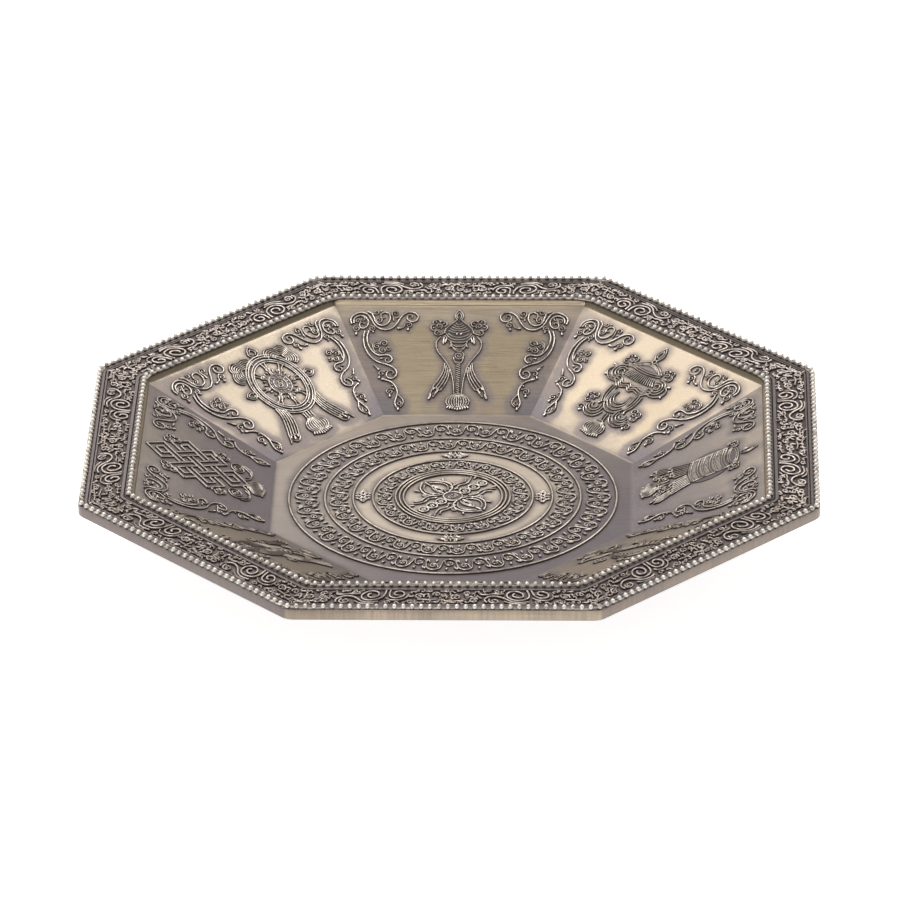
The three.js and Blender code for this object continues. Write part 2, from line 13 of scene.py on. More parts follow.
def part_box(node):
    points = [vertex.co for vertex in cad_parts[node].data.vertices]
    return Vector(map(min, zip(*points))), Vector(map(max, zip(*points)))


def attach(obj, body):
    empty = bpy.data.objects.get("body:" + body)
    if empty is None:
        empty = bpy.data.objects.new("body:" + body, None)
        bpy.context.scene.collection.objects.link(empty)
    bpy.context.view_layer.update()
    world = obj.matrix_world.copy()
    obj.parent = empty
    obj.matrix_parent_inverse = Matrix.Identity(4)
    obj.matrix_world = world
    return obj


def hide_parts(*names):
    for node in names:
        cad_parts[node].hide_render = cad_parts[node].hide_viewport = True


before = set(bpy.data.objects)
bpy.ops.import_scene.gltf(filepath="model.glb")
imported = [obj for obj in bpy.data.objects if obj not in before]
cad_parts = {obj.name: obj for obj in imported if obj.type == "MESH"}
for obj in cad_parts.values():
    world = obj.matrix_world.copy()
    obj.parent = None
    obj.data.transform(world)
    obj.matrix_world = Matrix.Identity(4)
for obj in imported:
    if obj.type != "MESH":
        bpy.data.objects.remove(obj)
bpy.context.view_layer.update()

# Sizes in millimetres: the pan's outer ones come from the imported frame
MM = 0.001
SIDES = 8
TURN = 2 * math.pi / SIDES
HALF_TURN = TURN / 2
pan_high = Vector(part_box("dish_pan")[1]) / MM
APOTHEM = pan_high.x
RIM_TOP = pan_high.z
RIM_WIDTH = 16.6
RIM_INNER = APOTHEM - RIM_WIDTH
LIP_HEIGHT = 2.0
LIP_DRAFT = 0.9
LIP_APOTHEM = RIM_INNER - LIP_DRAFT
LIP_LEVEL = RIM_TOP - LIP_HEIGHT
FLOOR_APOTHEM = 59.5
METAL = 2.2
FLOOR_LEVEL = METAL
SKIRT_HEIGHT = 4.0
SKIRT_WALL = 1.8
EDGE_BREAK = 0.5
CORNER_RADIUS = 5.0
INNER_CORNER_RADIUS = 0.8
WALL_SLOPE = math.atan2(LIP_LEVEL - FLOOR_LEVEL, LIP_APOTHEM - FLOOR_APOTHEM)
WALL_MIDDLE = (LIP_APOTHEM + FLOOR_APOTHEM) / 2
WALL_MIDDLE_LEVEL = (LIP_LEVEL + FLOOR_LEVEL) / 2

# Mesh of the pan: cuts along a side and round a corner, the fillet at the wall's foot, two loops in the
# floor, how far a loop's corners lie inside it, and the distance under which corners are merged
SIDE_CUTS = 64
CORNER_CUTS = 4
FLOOR_EASE = 0.7
FLOOR_LOOP = 30.0
FLOOR_HUB = 1.0
LOOP_SLACK = 0.1
MERGE_DISTANCE = 0.001

# Field of the scroll frieze, in from the outer face, and how deep it lies in the rim
FIELD_OUTER = 4.0
FIELD_INNER = 13.4
FIELD_DEPTH = 0.45

# The rim's top: distance in from the outer face and height over the rim
RIM_PROFILE = [(EDGE_BREAK, 0), (2.9, 0), (3.1, -0.3), (3.3, -0.02), (FIELD_OUTER - 0.2, 0),
               (FIELD_OUTER, -FIELD_DEPTH), (FIELD_INNER - 0.2, -FIELD_DEPTH), (FIELD_INNER, 0), (14.4, 0),
               (14.6, -0.3), (14.8, 0)]
# Its dark bands: middle and half width in from the outer face, and how dark
RIM_SHADES = [(1.2, 0.9, 0.8), (3.1, 0.2, 0.85),
              ((FIELD_OUTER + FIELD_INNER) / 2, (FIELD_INNER - FIELD_OUTER) / 2, 0.6),
              (14.6, 0.25, 0.7), (16.0, 0.95, 0.8), (17.8, 0.3, 0.7)]

# Bead rows: apothem, corner radius, number of beads, and a bead's size along the row and across it
BEAD_ROWS = [("outer", APOTHEM - 0.95, CORNER_RADIUS - 1.2, 280, (1.45, 1.75)),
             ("inner", RIM_INNER + 0.45, 1.6, 256, (1.4, 1.9))]
BEAD_HEIGHT = 1.5

# Ridges of the relief
RIDGE = 0.5
STEM = 0.62
FRIEZE_RIDGE = 0.6
FRIEZE_STEM = 0.7
FRIEZE_FINE = 0.58
FRIEZE_MIDDLE = 23.2
CURL_PITCH = 0.76
RIDGE_RISE = 0.55
PAD_RISE = 0.22

# Rings on the floor
RING_RADII = [54.1, 42.2, 32.9, 26.4]
RING_WIDTH = 0.85
RING_RISE = 0.6
CENTRE_RING_RADII = [16.3, 17.6, 18.9]

# Vine bands between them: middle radius, number of cells and width
VINES = [("outer", 48.2, 60, 7.4), ("middle", 37.6, 50, 6.0), ("inner", 22.6, 34, 4.8)]

SIDE_NAMES = ["east", "northeast", "north", "northwest", "west", "southwest", "south", "southeast"]

# How grey each side is, from east anticlockwise: painted shade that differs by side, with tarnish on walls,
# relief and floor; how olive it is; and the floor's outer band from pale to dark, darkest towards one bearing
WALL_SHADE_AND_TARNISH = [0.66, 0.0, 0.05, 0.0, 0.74, 0.42, 0.4, 0.38]
WALL_OLIVE = [0.3, 0.5, 0.75, 0.2, 0.3, 0.8, 0.8, 0.8]
LIP_SIDE_SHADE = [0.4, 0.8, 0.1, 0.85, 0.5, 0.6, 0.6, 0.6]
SKIRT_SIDE_SHADE = [0.3, 0.3, 0.3, 0.3, 0.3, 0.8, 0.1, 0.6]
RELIEF_SHADE_AND_TARNISH = [0.4, 0.05, 0.0, 0.0, 0.45, 0.8, 0.8, 0.8]
FRIEZE_SIDE_SHADE = [0.0, 0.05, 0.1, 0.0, 0.2, 0.4, 0.3, 0.35]
FLOOR_SHADE_AND_TARNISH = (0.42, 1.0)
FLOOR_SHADE_FACING = math.radians(-45)
HALO_REACH = 3.6

# Lamps: place and size in metres, power in watts
LAMPS = [("key", (-0.5, -0.5, 1.5), 0.9, 12.0), ("back", (-0.4, 1.7, 0.95), 1.1, 4.5),
         ("left_back", (-0.9, 0.9, 1.3), 0.7, 9.0), ("right_back", (0.9, 0.9, 1.3), 0.7, 11.0)]

# Camera, fitted to the outline, the bead lines and the floor rings
LENS = 309.56
SENSOR = 36.0
DISTANCE = 2.543
ELEVATION = math.radians(27.005)
AZIMUTH = math.radians(1.643)
ROLL = math.radians(-0.567)
PICTURE = 900
OFFSET_X = 2.32
OFFSET_Y = -13.35


# Drawing of the motifs: each ridge is (points, widths, closed)

def unit(degrees):
    """The step of length 1 in a direction, anticlockwise from +X."""
    return math.cos(math.radians(degrees)), math.sin(math.radians(degrees))


def line(*points, width=RIDGE, end=None, closed=False):
    """A smooth ridge through the points, from one width to another."""
    end = width if end is None else end
    last = len(points) - 1
    return [(list(points), [width + (end - width) * i / last for i in range(last + 1)], closed)]


def swag(*half, width=RIDGE):
    """A ridge from left to right through points that are given from the middle outwards."""
    return line(*[(-x, y) for x, y in half[:0:-1]], *half, width=width)


def arc(x, y, radius, start, end, width=RIDGE):
    """A round ridge about (x, y) between two angles in degrees; a full turn is closed."""
    sweep = end - start
    closed = abs(sweep) >= 360
    steps = max(2, round(abs(sweep) / 40))
    ways = [unit(start + sweep * i / steps) for i in range(steps if closed else steps + 1)]
    return line(*[(x + radius * c, y + radius * s) for c, s in ways], width=width, closed=closed)


def spiral(x, y, size, start, turns, hand, width):
    """Points and widths that wind inwards about (x, y) from an angle in degrees, clear of each other."""
    turns = min(turns, (size - 0.1) / CURL_PITCH)
    steps = max(5, round(8 * turns))
    points, widths = [], []
    for i in range(steps + 1):
        share = i / steps
        angle = math.radians(start) + hand * turns * 2 * math.pi * share
        reach = size + (0.16 - size) * share
        points.append((x + reach * math.cos(angle), y + reach * math.sin(angle)))
        widths.append(width + (0.38 - width) * share)
    return points, widths


def curl(x, y, size, start=60, turns=1.5, hand=1, width=RIDGE):
    """A curl by itself; hand is 1 for anticlockwise."""
    return [(*spiral(x, y, size, start, turns, hand, width), False)]


def tendril(points, size, turns=1.6, hand=1, width=RIDGE):
    """A stem that flows into a curl at its end."""
    (x0, y0), (x1, y1) = points[-2:]
    heading = math.atan2(y1 - y0, x1 - x0)
    x = x1 - hand * size * math.sin(heading)
    y = y1 + hand * size * math.cos(heading)
    start = math.degrees(heading) - hand * 90
    wound, widths = spiral(x, y, size, start, turns, hand, width)
    return [([*points, *wound[1:]], [width] * len(points) + widths[1:], False)]


def drop(x, y, angle, length=1.2, width=0.8):
    """A teardrop that swells towards an angle in degrees."""
    c, s = unit(angle)
    shares = [(0, 0.35), (0.35, 0.7), (0.68, 1.0), (0.92, 0.7), (1.0, 0.2)]
    points = [(x + c * length * at, y + s * length * at) for at, _ in shares]
    return [(points, [width * swell for _, swell in shares], False)]


def leaf(x, y, angle, length, width, lines=2):
    """A leaf or flame: pointed outlines one inside another."""
    c, s = unit(angle)
    ridges = []
    for k in range(lines):
        shrink = 1 - 0.42 * k
        middle = 0.5 * (1 - shrink) * length * 0.8
        for side in (1, -1):
            points = []
            for along, across in ((0.0, 0.18), (0.3, 0.5), (0.62, 0.42), (1.0, 0.0)):
                u = middle + along * length * shrink
                v = side * across * width * shrink
                points.append((x + u * c - v * s, y + u * s + v * c))
            ridges += line(*points)
    return ridges


def cloud(x, y, size, facing, hand=1):
    """A rolled cloud: three open lobes round a curl."""
    ridges = curl(x, y, 0.46 * size, facing + 180, 1.5, hand)
    for swing in (-84, 0, 84):
        c, s = unit(facing + swing)
        lobe = x + 0.62 * size * c, y + 0.62 * size * s
        ridges += arc(*lobe, 0.5 * size, facing + swing - 112, facing + swing + 112)
        ridges += drop(*lobe, facing + swing, 0.3 * size, 0.6)
    return ridges


def between(first, last, count, width=RIDGE):
    """Ridges spread evenly from one edge to the other."""
    ridges = []
    for i in range(count):
        t = i / (count - 1)
        points = [(a + (c - a) * t, b + (d - b) * t) for (a, b), (c, d) in zip(first, last)]
        ridges += line(*points, width=width)
    return ridges


def arches(x, y, size, facing, count=4):
    """Nested arches, each with three lobes."""
    ridges = []
    for k in range(count):
        reach = size * (1 - 0.8 * k / count)
        points = []
        for swing in range(-96, 97, 16):
            out = reach * (0.8 + 0.2 * abs(math.cos(math.radians(90 * swing / 35))))
            c, s = unit(facing + swing)
            points.append((x + out * c, y + out * s))
        ridges += line(*points)
    return ridges


def changed(ridges, change):
    """The ridges with each point moved by the change."""
    return [([change(x, y) for x, y in points], widths, closed) for points, widths, closed in ridges]


def mirrored(ridges):
    return changed(ridges, lambda x, y: (-x, y))


def both(ridges):
    return ridges + mirrored(ridges)


def shifted(ridges, dx, dy):
    return changed(ridges, lambda x, y: (x + dx, y + dy))


def turned(ridges, degrees):
    c, s = unit(degrees)
    return changed(ridges, lambda x, y: (x * c - y * s, x * s + y * c))


def oval(x, y, across, tall, count=12):
    turns = [2 * math.pi * i / count for i in range(count)]
    return [(x + across * math.cos(turn), y + tall * math.sin(turn)) for turn in turns]


def bud(x, y, across=3.7, tall=3.4):
    """The lotus bud at the foot of an emblem: nested petals over a fringe of drops."""
    ridges = []
    for share in (1.0, 0.77, 0.54, 0.31, 0.1):
        for side in (1, -1):
            wide = side * share * across
            ridges += line((x + wide * 0.42, y + tall * 0.94), (x + wide, y + tall * 0.36),
                           (x + wide * 0.98, y - tall * 0.2), (x + wide * 0.62, y - tall * 0.62))
    ridges += arc(x, y + tall * 0.16, across * 0.86, 48, 132)
    for k in range(-4, 5):
        top = y - tall * 0.58 + 0.05 * abs(k) * tall
        ridges += drop(x + k * across * 0.2, top, -90 + k * 7, tall * 0.45, 0.75)
    return ridges, [oval(x, y, across * 0.95, tall * 0.9)]


def streamer(outer, inner, count, toes):
    """A fluttering ribbon: folds from edge to edge, a cuff across them and a toe at the end of each fold."""
    ridges = between(outer, inner, count)
    (x0, y0), (x1, y1) = outer[-1], inner[-1]
    fall = math.degrees(math.atan2(y0 - outer[-2][1], x0 - outer[-2][0]))
    c, s = unit(fall)
    scallop = []
    for i in range(2 * toes + 1):
        t = i / (2 * toes)
        bulge = 0.55 if i % 2 else -0.1
        scallop.append((x0 + (x1 - x0) * t + bulge * c, y0 + (y1 - y0) * t + bulge * s))
    ridges += line(*scallop)
    for i in range(toes):
        t = (i + 0.5) / toes
        ridges += drop(x0 + (x1 - x0) * t, y0 + (y1 - y0) * t, fall, 1.5 + 0.9 * (i % 2), 0.8)
    return ridges


# The emblems: each gives its ridges and the pads under them, about the middle of its wall, y up the slope

def parasol():
    foot, pads = bud(0, -18.4)
    half = [
        *line((0.9, 16.9), (2.2, 15.6), (3.6, 14.2), (4.7, 12.6), (4.9, 11.2)),
        *cloud(6.8, 14.4, 2.6, 62, -1),
        *tendril([(4.4, 13.6), (5.0, 11.6), (6.6, 10.6)], 1.3, 1.2, 1),
        *line((6.2, 9.8), (7.6, 7.4), (7.3, 4.2), (5.3, 0.8), (3.4, -2.4), (2.2, -6.6), (1.5, -11.4),
              (1.3, -14.8)),
        *drop(5.0, 10.2, -86, 3.8, 0.8),
        *drop(4.1, 9.6, -78, 2.6, 0.75),
        *line((2.9, 7.9), (2.5, 6.6), (3.1, 5.2)),
        *streamer([(4.6, -1.6), (5.0, -4.8), (6.6, -8.6), (8.4, -11.6)],
                  [(3.0, -4.4), (3.3, -7.4), (4.4, -10.6), (5.8, -13.2)], 4, 2),
        *line((8.4, -11.6), (8.8, -13.2), (9.6, -15.4)), *drop(9.0, -14.8, -70, 2.6, 1.0),
        *line((6.8, -12.8), (7.4, -14.6), (8.4, -16.2)),
    ]
    ridges = both(half) + foot + leaf(0, 16.9, 90, 4.5, 2.7)
    for level in range(5):
        top = 15.9 - 0.85 * level
        wide = 1.1 + 0.62 * level
        ridges += both(line((0.0, top - 1.0), (wide * 0.45, top - 0.85), (wide, top - 0.1), width=0.44))
    ridges += both(drop(1.0, 11.6, -112, 1.2, 0.8))
    for top, bottom, wide in ((11.2, 9.5, 3.7), (11.0, 8.5, 4.4), (10.4, 7.4, 4.8), (7.3, 5.5, 2.9),
                              (6.4, 4.4, 2.8), (4.9, 3.5, 1.9)):
        ridges += swag((0, bottom), (wide * 0.6, bottom + 0.6), (wide, top))
    ridges += curl(0.1, 1.7, 1.9, 100, 2.0, -1)
    ridges += both(line((1.7, 1.0), (1.4, -0.4), (0.8, -1.6)))
    for k in range(15):
        y = -1.4 - k * 0.9
        ridges += line((-0.75 + 0.02 * k, y + 0.3), (0.75 - 0.02 * k, y - 0.3), width=0.5)
    pads += [[(0, 16.6), (2.8, 14.6), (4.6, 12.6), (3.6, 9.4), (0, 7.0), (-3.6, 9.4), (-4.6, 12.6),
              (-2.8, 14.6)],
             oval(0.1, 1.6, 1.8, 1.8)]
    return ridges, pads


def wheel():
    centre_y, across, tall = 3.3, 11.0, 13.5

    def spot(turn, out, up=None):
        """A place about the hub, given as shares of the wheel's half width and half height."""
        up = out if up is None else up
        return across * out * math.cos(turn), centre_y + tall * up * math.sin(turn)

    foot, pads = bud(0, -17.2, 4.0, 3.9)
    ridges = []
    for share in (1.0, 0.93, 0.83, 0.765):
        ridges += line(*oval(0, centre_y, across * share, tall * share, 20), width=0.52, closed=True)
    for k in range(8):
        turn = 2 * math.pi * k / 8
        for side in (1, -1):
            spoke = ((0.34, 0.1), (0.44, 0.05), (0.52, 0.12), (0.6, 0.06), (0.76, 0.1))
            ridges += line(*[spot(turn + side * off, out) for out, off in spoke])
            ridges += drop(*spot(turn + side * 0.24, 0.42, 0.4), math.degrees(turn) + side * 22, 1.3, 0.7)
        ridges += arc(*spot(turn, 0.52), 0.45, 0, 360)
        between_spokes = turn + math.pi / 8
        ridges += drop(*spot(between_spokes, 0.85), math.degrees(between_spokes), 0.9, 0.6)
    ridges += line(*oval(0, centre_y, 3.9, 4.3), closed=True)
    ridges += line(*oval(0, centre_y, 2.3, 2.5), closed=True)
    for k in range(14):
        turn = 2 * math.pi * k / 14
        ridges += drop(2.7 * math.cos(turn), centre_y + 3.0 * math.sin(turn), math.degrees(turn), 0.8, 0.62)
    ridges += curl(0.55, centre_y + 0.5, 1.1, 200, 1.1, -1) + curl(-0.55, centre_y - 0.5, 1.1, 20, 1.1, -1)
    ridges += leaf(0, centre_y + tall, 90, 4.6, 4.0)
    half = leaf(across + 0.2, centre_y, 0, 3.8, 3.4)
    half += arches(7.7, 12.3, 6.3, 52, 6)
    half += streamer([(9.2, -5.0), (9.4, -8.4), (10.8, -12.4), (12.8, -16.6)],
                     [(6.3, -6.9), (6.3, -10.2), (7.2, -13.8), (8.8, -17.2)], 5, 3)
    half += line((12.8, -16.6), (13.4, -18.2), (14.2, -19.8))
    half += line((8.9, -17.2), (9.6, -18.8), (11.2, -19.8), (12.6, -19.0))
    half += line((8.9, -7.4), (7.6, -7.6), (6.4, -7.4)) + drop(9.8, -9.6, -80, 1.4, 0.6)
    half += line((1.7, -10.6), (1.5, -12.2), (1.8, -13.6)) + line((0.6, -10.6), (0.5, -13.2))
    return ridges + both(half) + foot, pads + [oval(0, centre_y, 3.9, 4.3)]


def vase():
    foot, pads = bud(0.4, -18.2, 4.0, 3.4)
    ridges = leaf(-0.2, 15.4, 90, 6.0, 3.0) + arc(-0.2, 14.6, 0.8, 0, 360) + foot
    half = [
        *line((1.0, 14.4), (2.6, 13.6), (4.6, 12.4), (6.4, 11.0)),
        *line((0.9, 13.4), (2.6, 12.8), (4.4, 11.6), (5.4, 10.8)),
        *cloud(8.6, 11.8, 2.3, 55, -1),
        *arc(8.3, 6.2, 1.2, -120, 170), *arc(8.3, 6.1, 2.2, -110, 130), *arc(8.4, 6.0, 3.2, -100, 100),
        *arc(10.6, 5.0, 2.6, -80, 60),
        *drop(11.6, 7.4, 20, 1.9, 0.9),
        *drop(12.2, 3.6, -40, 1.4, 0.9),
        *line((6.6, 2.4), (8.4, 1.8), (10.6, 2.0), (12.2, 3.0)),
        *line((7.6, 2.0), (6.4, 1.2), (5.4, 0.2)),
        *between([(6.9, 0.2), (7.1, -2.2), (6.7, -5.0), (5.6, -7.4)],
                 [(4.9, 0.2), (5.0, -2.2), (4.7, -4.8), (3.9, -6.8)], 3),
        *drop(5.4, -7.0, -70, 1.8, 0.8),
        *arc(6.4, -9.6, 1.2, 170, 400), *arc(6.3, -9.8, 2.2, 150, 370), *arc(6.2, -10.0, 3.2, 160, 350),
        *arc(6.0, -10.2, 4.2, 190, 330),
        *cloud(9.8, -7.4, 2.3, 30, -1),
        *tendril([(9.0, -12.0), (10.4, -11.4)], 1.2, 1.2, -1),
        *drop(9.4, -13.2, -35, 1.6, 0.9),
    ]
    ridges += both(half)
    for rise in (0.0, 0.9, 1.7):
        ridges += swag((0, 12.5 + 0.5 * rise), (2.0 - 0.5 * rise, 12.2 + 0.6 * rise),
                       (4.2 - rise, 11.3 + 0.8 * rise))
    for level in (10.6, 9.7):
        ridges += swag((0, level - 0.6), (3.4, level - 0.4), (6.6, level + 0.2))
    for k in range(-7, 8):
        x = k * 0.86
        ridges += line((x * 0.9, 8.2), (x, 6.6), (x * 1.14, 4.9 + 0.012 * k * k), width=0.42)
    lappet = [(-8.4, 4.4), (-6.4, 4.2), (-4.4, 2.6), (-3.0, 3.0), (-1.6, 3.4), (0, 2.2), (1.6, 3.2),
              (3.0, 2.9), (4.4, 2.6), (6.4, 4.2), (8.4, 4.4)]
    for sink in (0.0, 1.0, 2.0):
        ridges += line(*[(x, y - sink) for x, y in lappet])
    for wide, deep in ((2.7, 5.8), (3.4, 7.2), (4.0, 8.6), (4.6, 10.0)):
        ridges += swag((0, -deep), (wide * 0.6, -deep * 0.9), (wide, -deep * 0.62), (wide, -1.2))
    ridges += line((-0.1, -10.8), (0, -12.6), (0.3, -14.8)) + line((0.9, -10.8), (1.0, -12.6), (1.3, -14.6))
    pads += [[(-6.4, 10.4), (0, 9.8), (6.4, 10.4), (8.0, 4.6), (4, 2.6), (0, 1.6), (-4, 2.6), (-8.0, 4.6)],
             [(-5.2, 11.4), (-2.4, 13.4), (2.4, 13.4), (5.2, 11.4), (0, 10.2)],
             [(-5.6, 0.8), (5.6, 0.8), (5.8, -4.4), (2.6, -9.6), (-2.6, -9.6), (-5.8, -4.4)]]
    return ridges, pads


def banner():
    foot, pads = bud(0, -18.2, 3.8, 3.2)
    ridges = leaf(0, 15.4, 90, 6.0, 2.8) + foot
    for across, tall in ((5.8, 1.9), (4.8, 1.2)):
        ridges += line(*oval(0, 12.6, across, tall), closed=True)
    for top in (10.6, 6.2, 1.8):
        for sink in (0.0, 1.0, 3.4):
            wide = 6.6 + 0.1 * sink
            level = top - sink
            ridges += swag((0, level - 1.2), (wide * 0.5, level - 0.9), (wide, level))
        for k in range(-7, 8):
            x = k * 0.94
            sag = 1.2 - 1.2 * (k / 7) ** 2
            ridges += line((x, top - 1.5 - sag), (x, top - 3.0 - sag), width=0.42)
            ridges += drop(x, top - 3.6 - sag, -90, 0.8, 0.8)
    half = [
        *line((5.4, 12.8), (6.4, 11.8), (6.8, 10.4)),
        *cloud(7.6, 12.6, 2.0, 45, -1),
        *line((6.7, 10.4), (6.7, 7.0)), *line((6.8, 6.0), (6.8, 2.6)), *line((6.9, 1.6), (6.9, -1.8)),
        *streamer([(7.1, -3.0), (8.2, -6.4), (9.6, -9.8)], [(0.7, -4.2), (1.0, -6.4), (1.2, -8.6)], 7, 4),
        *cloud(3.4, -12.2, 2.3, -40, 1),
        *streamer([(8.8, -9.6), (10.4, -12.0), (11.4, -14.6)], [(6.6, -10.6), (7.6, -13.0), (8.2, -16.0)],
                  4, 2),
        *curl(5.8, -15.2, 1.5, 80, 1.6, -1),
        *line((1.0, -10.4), (0.8, -12.6), (1.0, -15.0)),
    ]
    pads += [[(-6.8, 10.6), (0, 9.6), (6.8, 10.6), (7.0, -2.6), (0, -3.8), (-7.0, -2.6)],
             oval(0, 12.5, 5.6, 1.7)]
    return ridges + both(half), pads


def knot():
    """An endless knot: a double ridge that passes over and under itself on a slanted lattice."""
    foot, pads = bud(0, -18.0, 4.0, 3.2)
    ridges = list(foot)
    step_x, step_y, centre_y, half, cut = 3.85, 4.2, 3.4, 0.2, 0.3

    def strand(start, stop, flip):
        ends = [(j, i) if flip else (i, j) for i, j in (start, stop)]
        return line(*[((i - j) * step_x, centre_y + (i + j) * step_y) for i, j in ends], width=0.66)

    for flip in (False, True):
        for row in (-1, 0, 1):
            for side in (1, -1):
                level = row + side * half
                turn = -1 if row == 0 else 1
                start = -2 - half * side * turn
                for crossing in (-1, 0, 1):
                    if (row + crossing + flip) % 2:
                        ridges += strand((start, level), (crossing - cut, level), flip)
                        start = crossing + cut
                ridges += strand((start, level), (2 - half * side * turn, level), flip)
        for row in (-1, 1):
            for end in (1, -1):
                for g in (half, -half):
                    ridges += strand((end * (2 + g), row - end * g), (end * (2 + g), row + end * (1 + g)),
                                     flip)
    half_motif = [
        *cloud(9.4, 13.0, 2.9, 30, -1),
        *cloud(11.6, -4.6, 2.5, 0, 1),
        *tendril([(2.2, -13.0), (4.6, -15.2), (8.0, -15.4), (10.6, -13.0)], 3.0, 2.4, 1),
        *arc(8.0, -12.0, 3.9, -150, -10),
        *line((1.0, -13.6), (0.9, -14.8)),
    ]
    return ridges + both(half_motif), pads


def conch():
    foot, pads = bud(0, -18.0, 3.8, 3.3)
    ridges = list(foot)
    for k in range(5):
        shrink = 1 - 0.17 * k
        ridges += line((-5.6 * shrink, 12.0 - 1.2 * k), (-6.6 * shrink, 6.0), (-4.8 * shrink, -1.0),
                       (0, -8.6 + 2.0 * k), (4.8 * shrink, -1.0), (6.6 * shrink, 6.0),
                       (4.6 * shrink, 12.4 - 1.2 * k))
    ridges += curl(0, 13.2, 4.4, -20, 2.4, 1, 0.55) + leaf(0, 17.2, 90, 4.0, 2.6)
    ridges += tendril([(0, -8.6), (1.2, -3.4), (0.6, 1.6)], 1.9, 1.6, 1)
    half = [
        *cloud(8.6, 13.0, 2.3, 40, -1),
        *tendril([(4.6, -2.0), (7.6, -3.4), (10.2, -2.0)], 1.9, 1.6, 1),
        *between([(6.0, 0.6), (9.6, -4.4), (10.0, -9.6), (13.0, -16.4)],
                 [(4.6, -2.4), (7.0, -6.4), (7.6, -11.4), (9.6, -17.4)], 4),
        *line((13.0, -16.4), (11.8, -16.2), (10.8, -17.4), (9.6, -17.4)),
        *tendril([(1.0, -9.6), (3.0, -12.6), (5.0, -13.4)], 1.5, 1.5, 1),
        *line((0.8, -9.4), (0.9, -12.6), (0.9, -14.8)),
    ]
    pads += [[(0, 17), (4.4, 13.4), (6.6, 6.0), (4.8, -1.0), (0, -8.6), (-4.8, -1.0), (-6.6, 6.0),
              (-4.4, 13.4)]]
    return ridges + both(half), pads


def lotus():
    foot, pads = bud(0, -18.0, 3.8, 3.3)
    ridges = list(foot) + leaf(0, -1.0, 90, 17.4, 7.6, 3)
    half = [
        *leaf(1.6, -1.6, 66, 16.2, 6.6), *leaf(2.8, -2.2, 42, 14.2, 5.8), *leaf(3.0, -3.4, 16, 11.6, 4.8),
        *leaf(2.2, -4.8, -14, 9.0, 3.8),
        *tendril([(0.8, -9.0), (3.6, -11.6), (6.8, -11.4)], 1.9, 1.6, 1),
        *tendril([(1.0, -12.2), (4.2, -15.0), (7.8, -15.2)], 1.5, 1.5, 1),
        *drop(9.6, -12.4, -30, 1.8, 0.9), *curl(11.2, -6.6, 1.3, 100, 1.5, -1),
        *line((0.8, -6.4), (0.9, -10.8), (0.9, -14.8)),
    ]
    for k in range(-2, 3):
        ridges += arc(k * 1.5, -3.4 + 0.3 * abs(k), 0.55, 0, 360)
    pads += [oval(0, 5.6, 8.6, 9.4)]
    return ridges + both(half), pads


def fishes():
    foot, pads = bud(0, -18.0, 3.8, 3.3)
    ridges = list(foot) + leaf(0, 15.6, 90, 5.6, 3.0) + arc(0, 14.2, 1.0, 0, 360) + arc(0, 11.6, 1.6, 0, 360)
    outer = [(2.2, 15.0), (6.2, 12.4), (8.4, 6.6), (6.4, 0.2), (2.6, -4.4), (1.6, -6.2)]
    inner = [(2.4, 13.8), (3.6, 11.4), (4.2, 7.4), (3.4, 2.6), (1.4, -1.6), (0.6, -4.6)]
    half = between(outer, inner, 2, 0.55)
    for k in range(5):
        y = 10.6 - 2.4 * k
        for x in (5.0, 6.4):
            half += arc(x - 0.12 * k * k, y - (0.9 if x > 6 else 0), 0.95, 200, 340)
    half += arc(4.4, 13.0, 0.55, 0, 360)
    half += between([(1.6, -6.0), (4.6, -8.2), (7.0, -11.8)], [(0.6, -5.2), (1.2, -8.8), (1.0, -12.6)], 5)
    half += line((7.0, -11.8), (5.2, -11.2), (3.4, -12.6), (1.0, -12.4))
    half += tendril([(8.2, 8.6), (10.2, 8.0)], 1.6, 1.6, 1) + cloud(8.8, -3.2, 2.2, 0, 1)
    half += tendril([(1.0, -13.2), (4.6, -15.2), (8.0, -14.6)], 1.6, 1.6, 1)
    half += curl(10.6, 13.2, 1.8, 120, 1.6, -1)
    body = [((a + c) / 2, (b + d) / 2) for (a, b), (c, d) in zip(outer, inner)]
    pads += [outer + inner[::-1], [(-x, y) for x, y in outer + inner[::-1]]]
    return ridges + both(half) + both(line(*body[1:5], width=0.35)), pads


EMBLEMS = [("victory_banner", banner), ("treasure_vase", vase), ("parasol", parasol), ("wheel", wheel),
           ("endless_knot", knot), ("conch", conch), ("lotus", lotus), ("paired_fishes", fishes)]


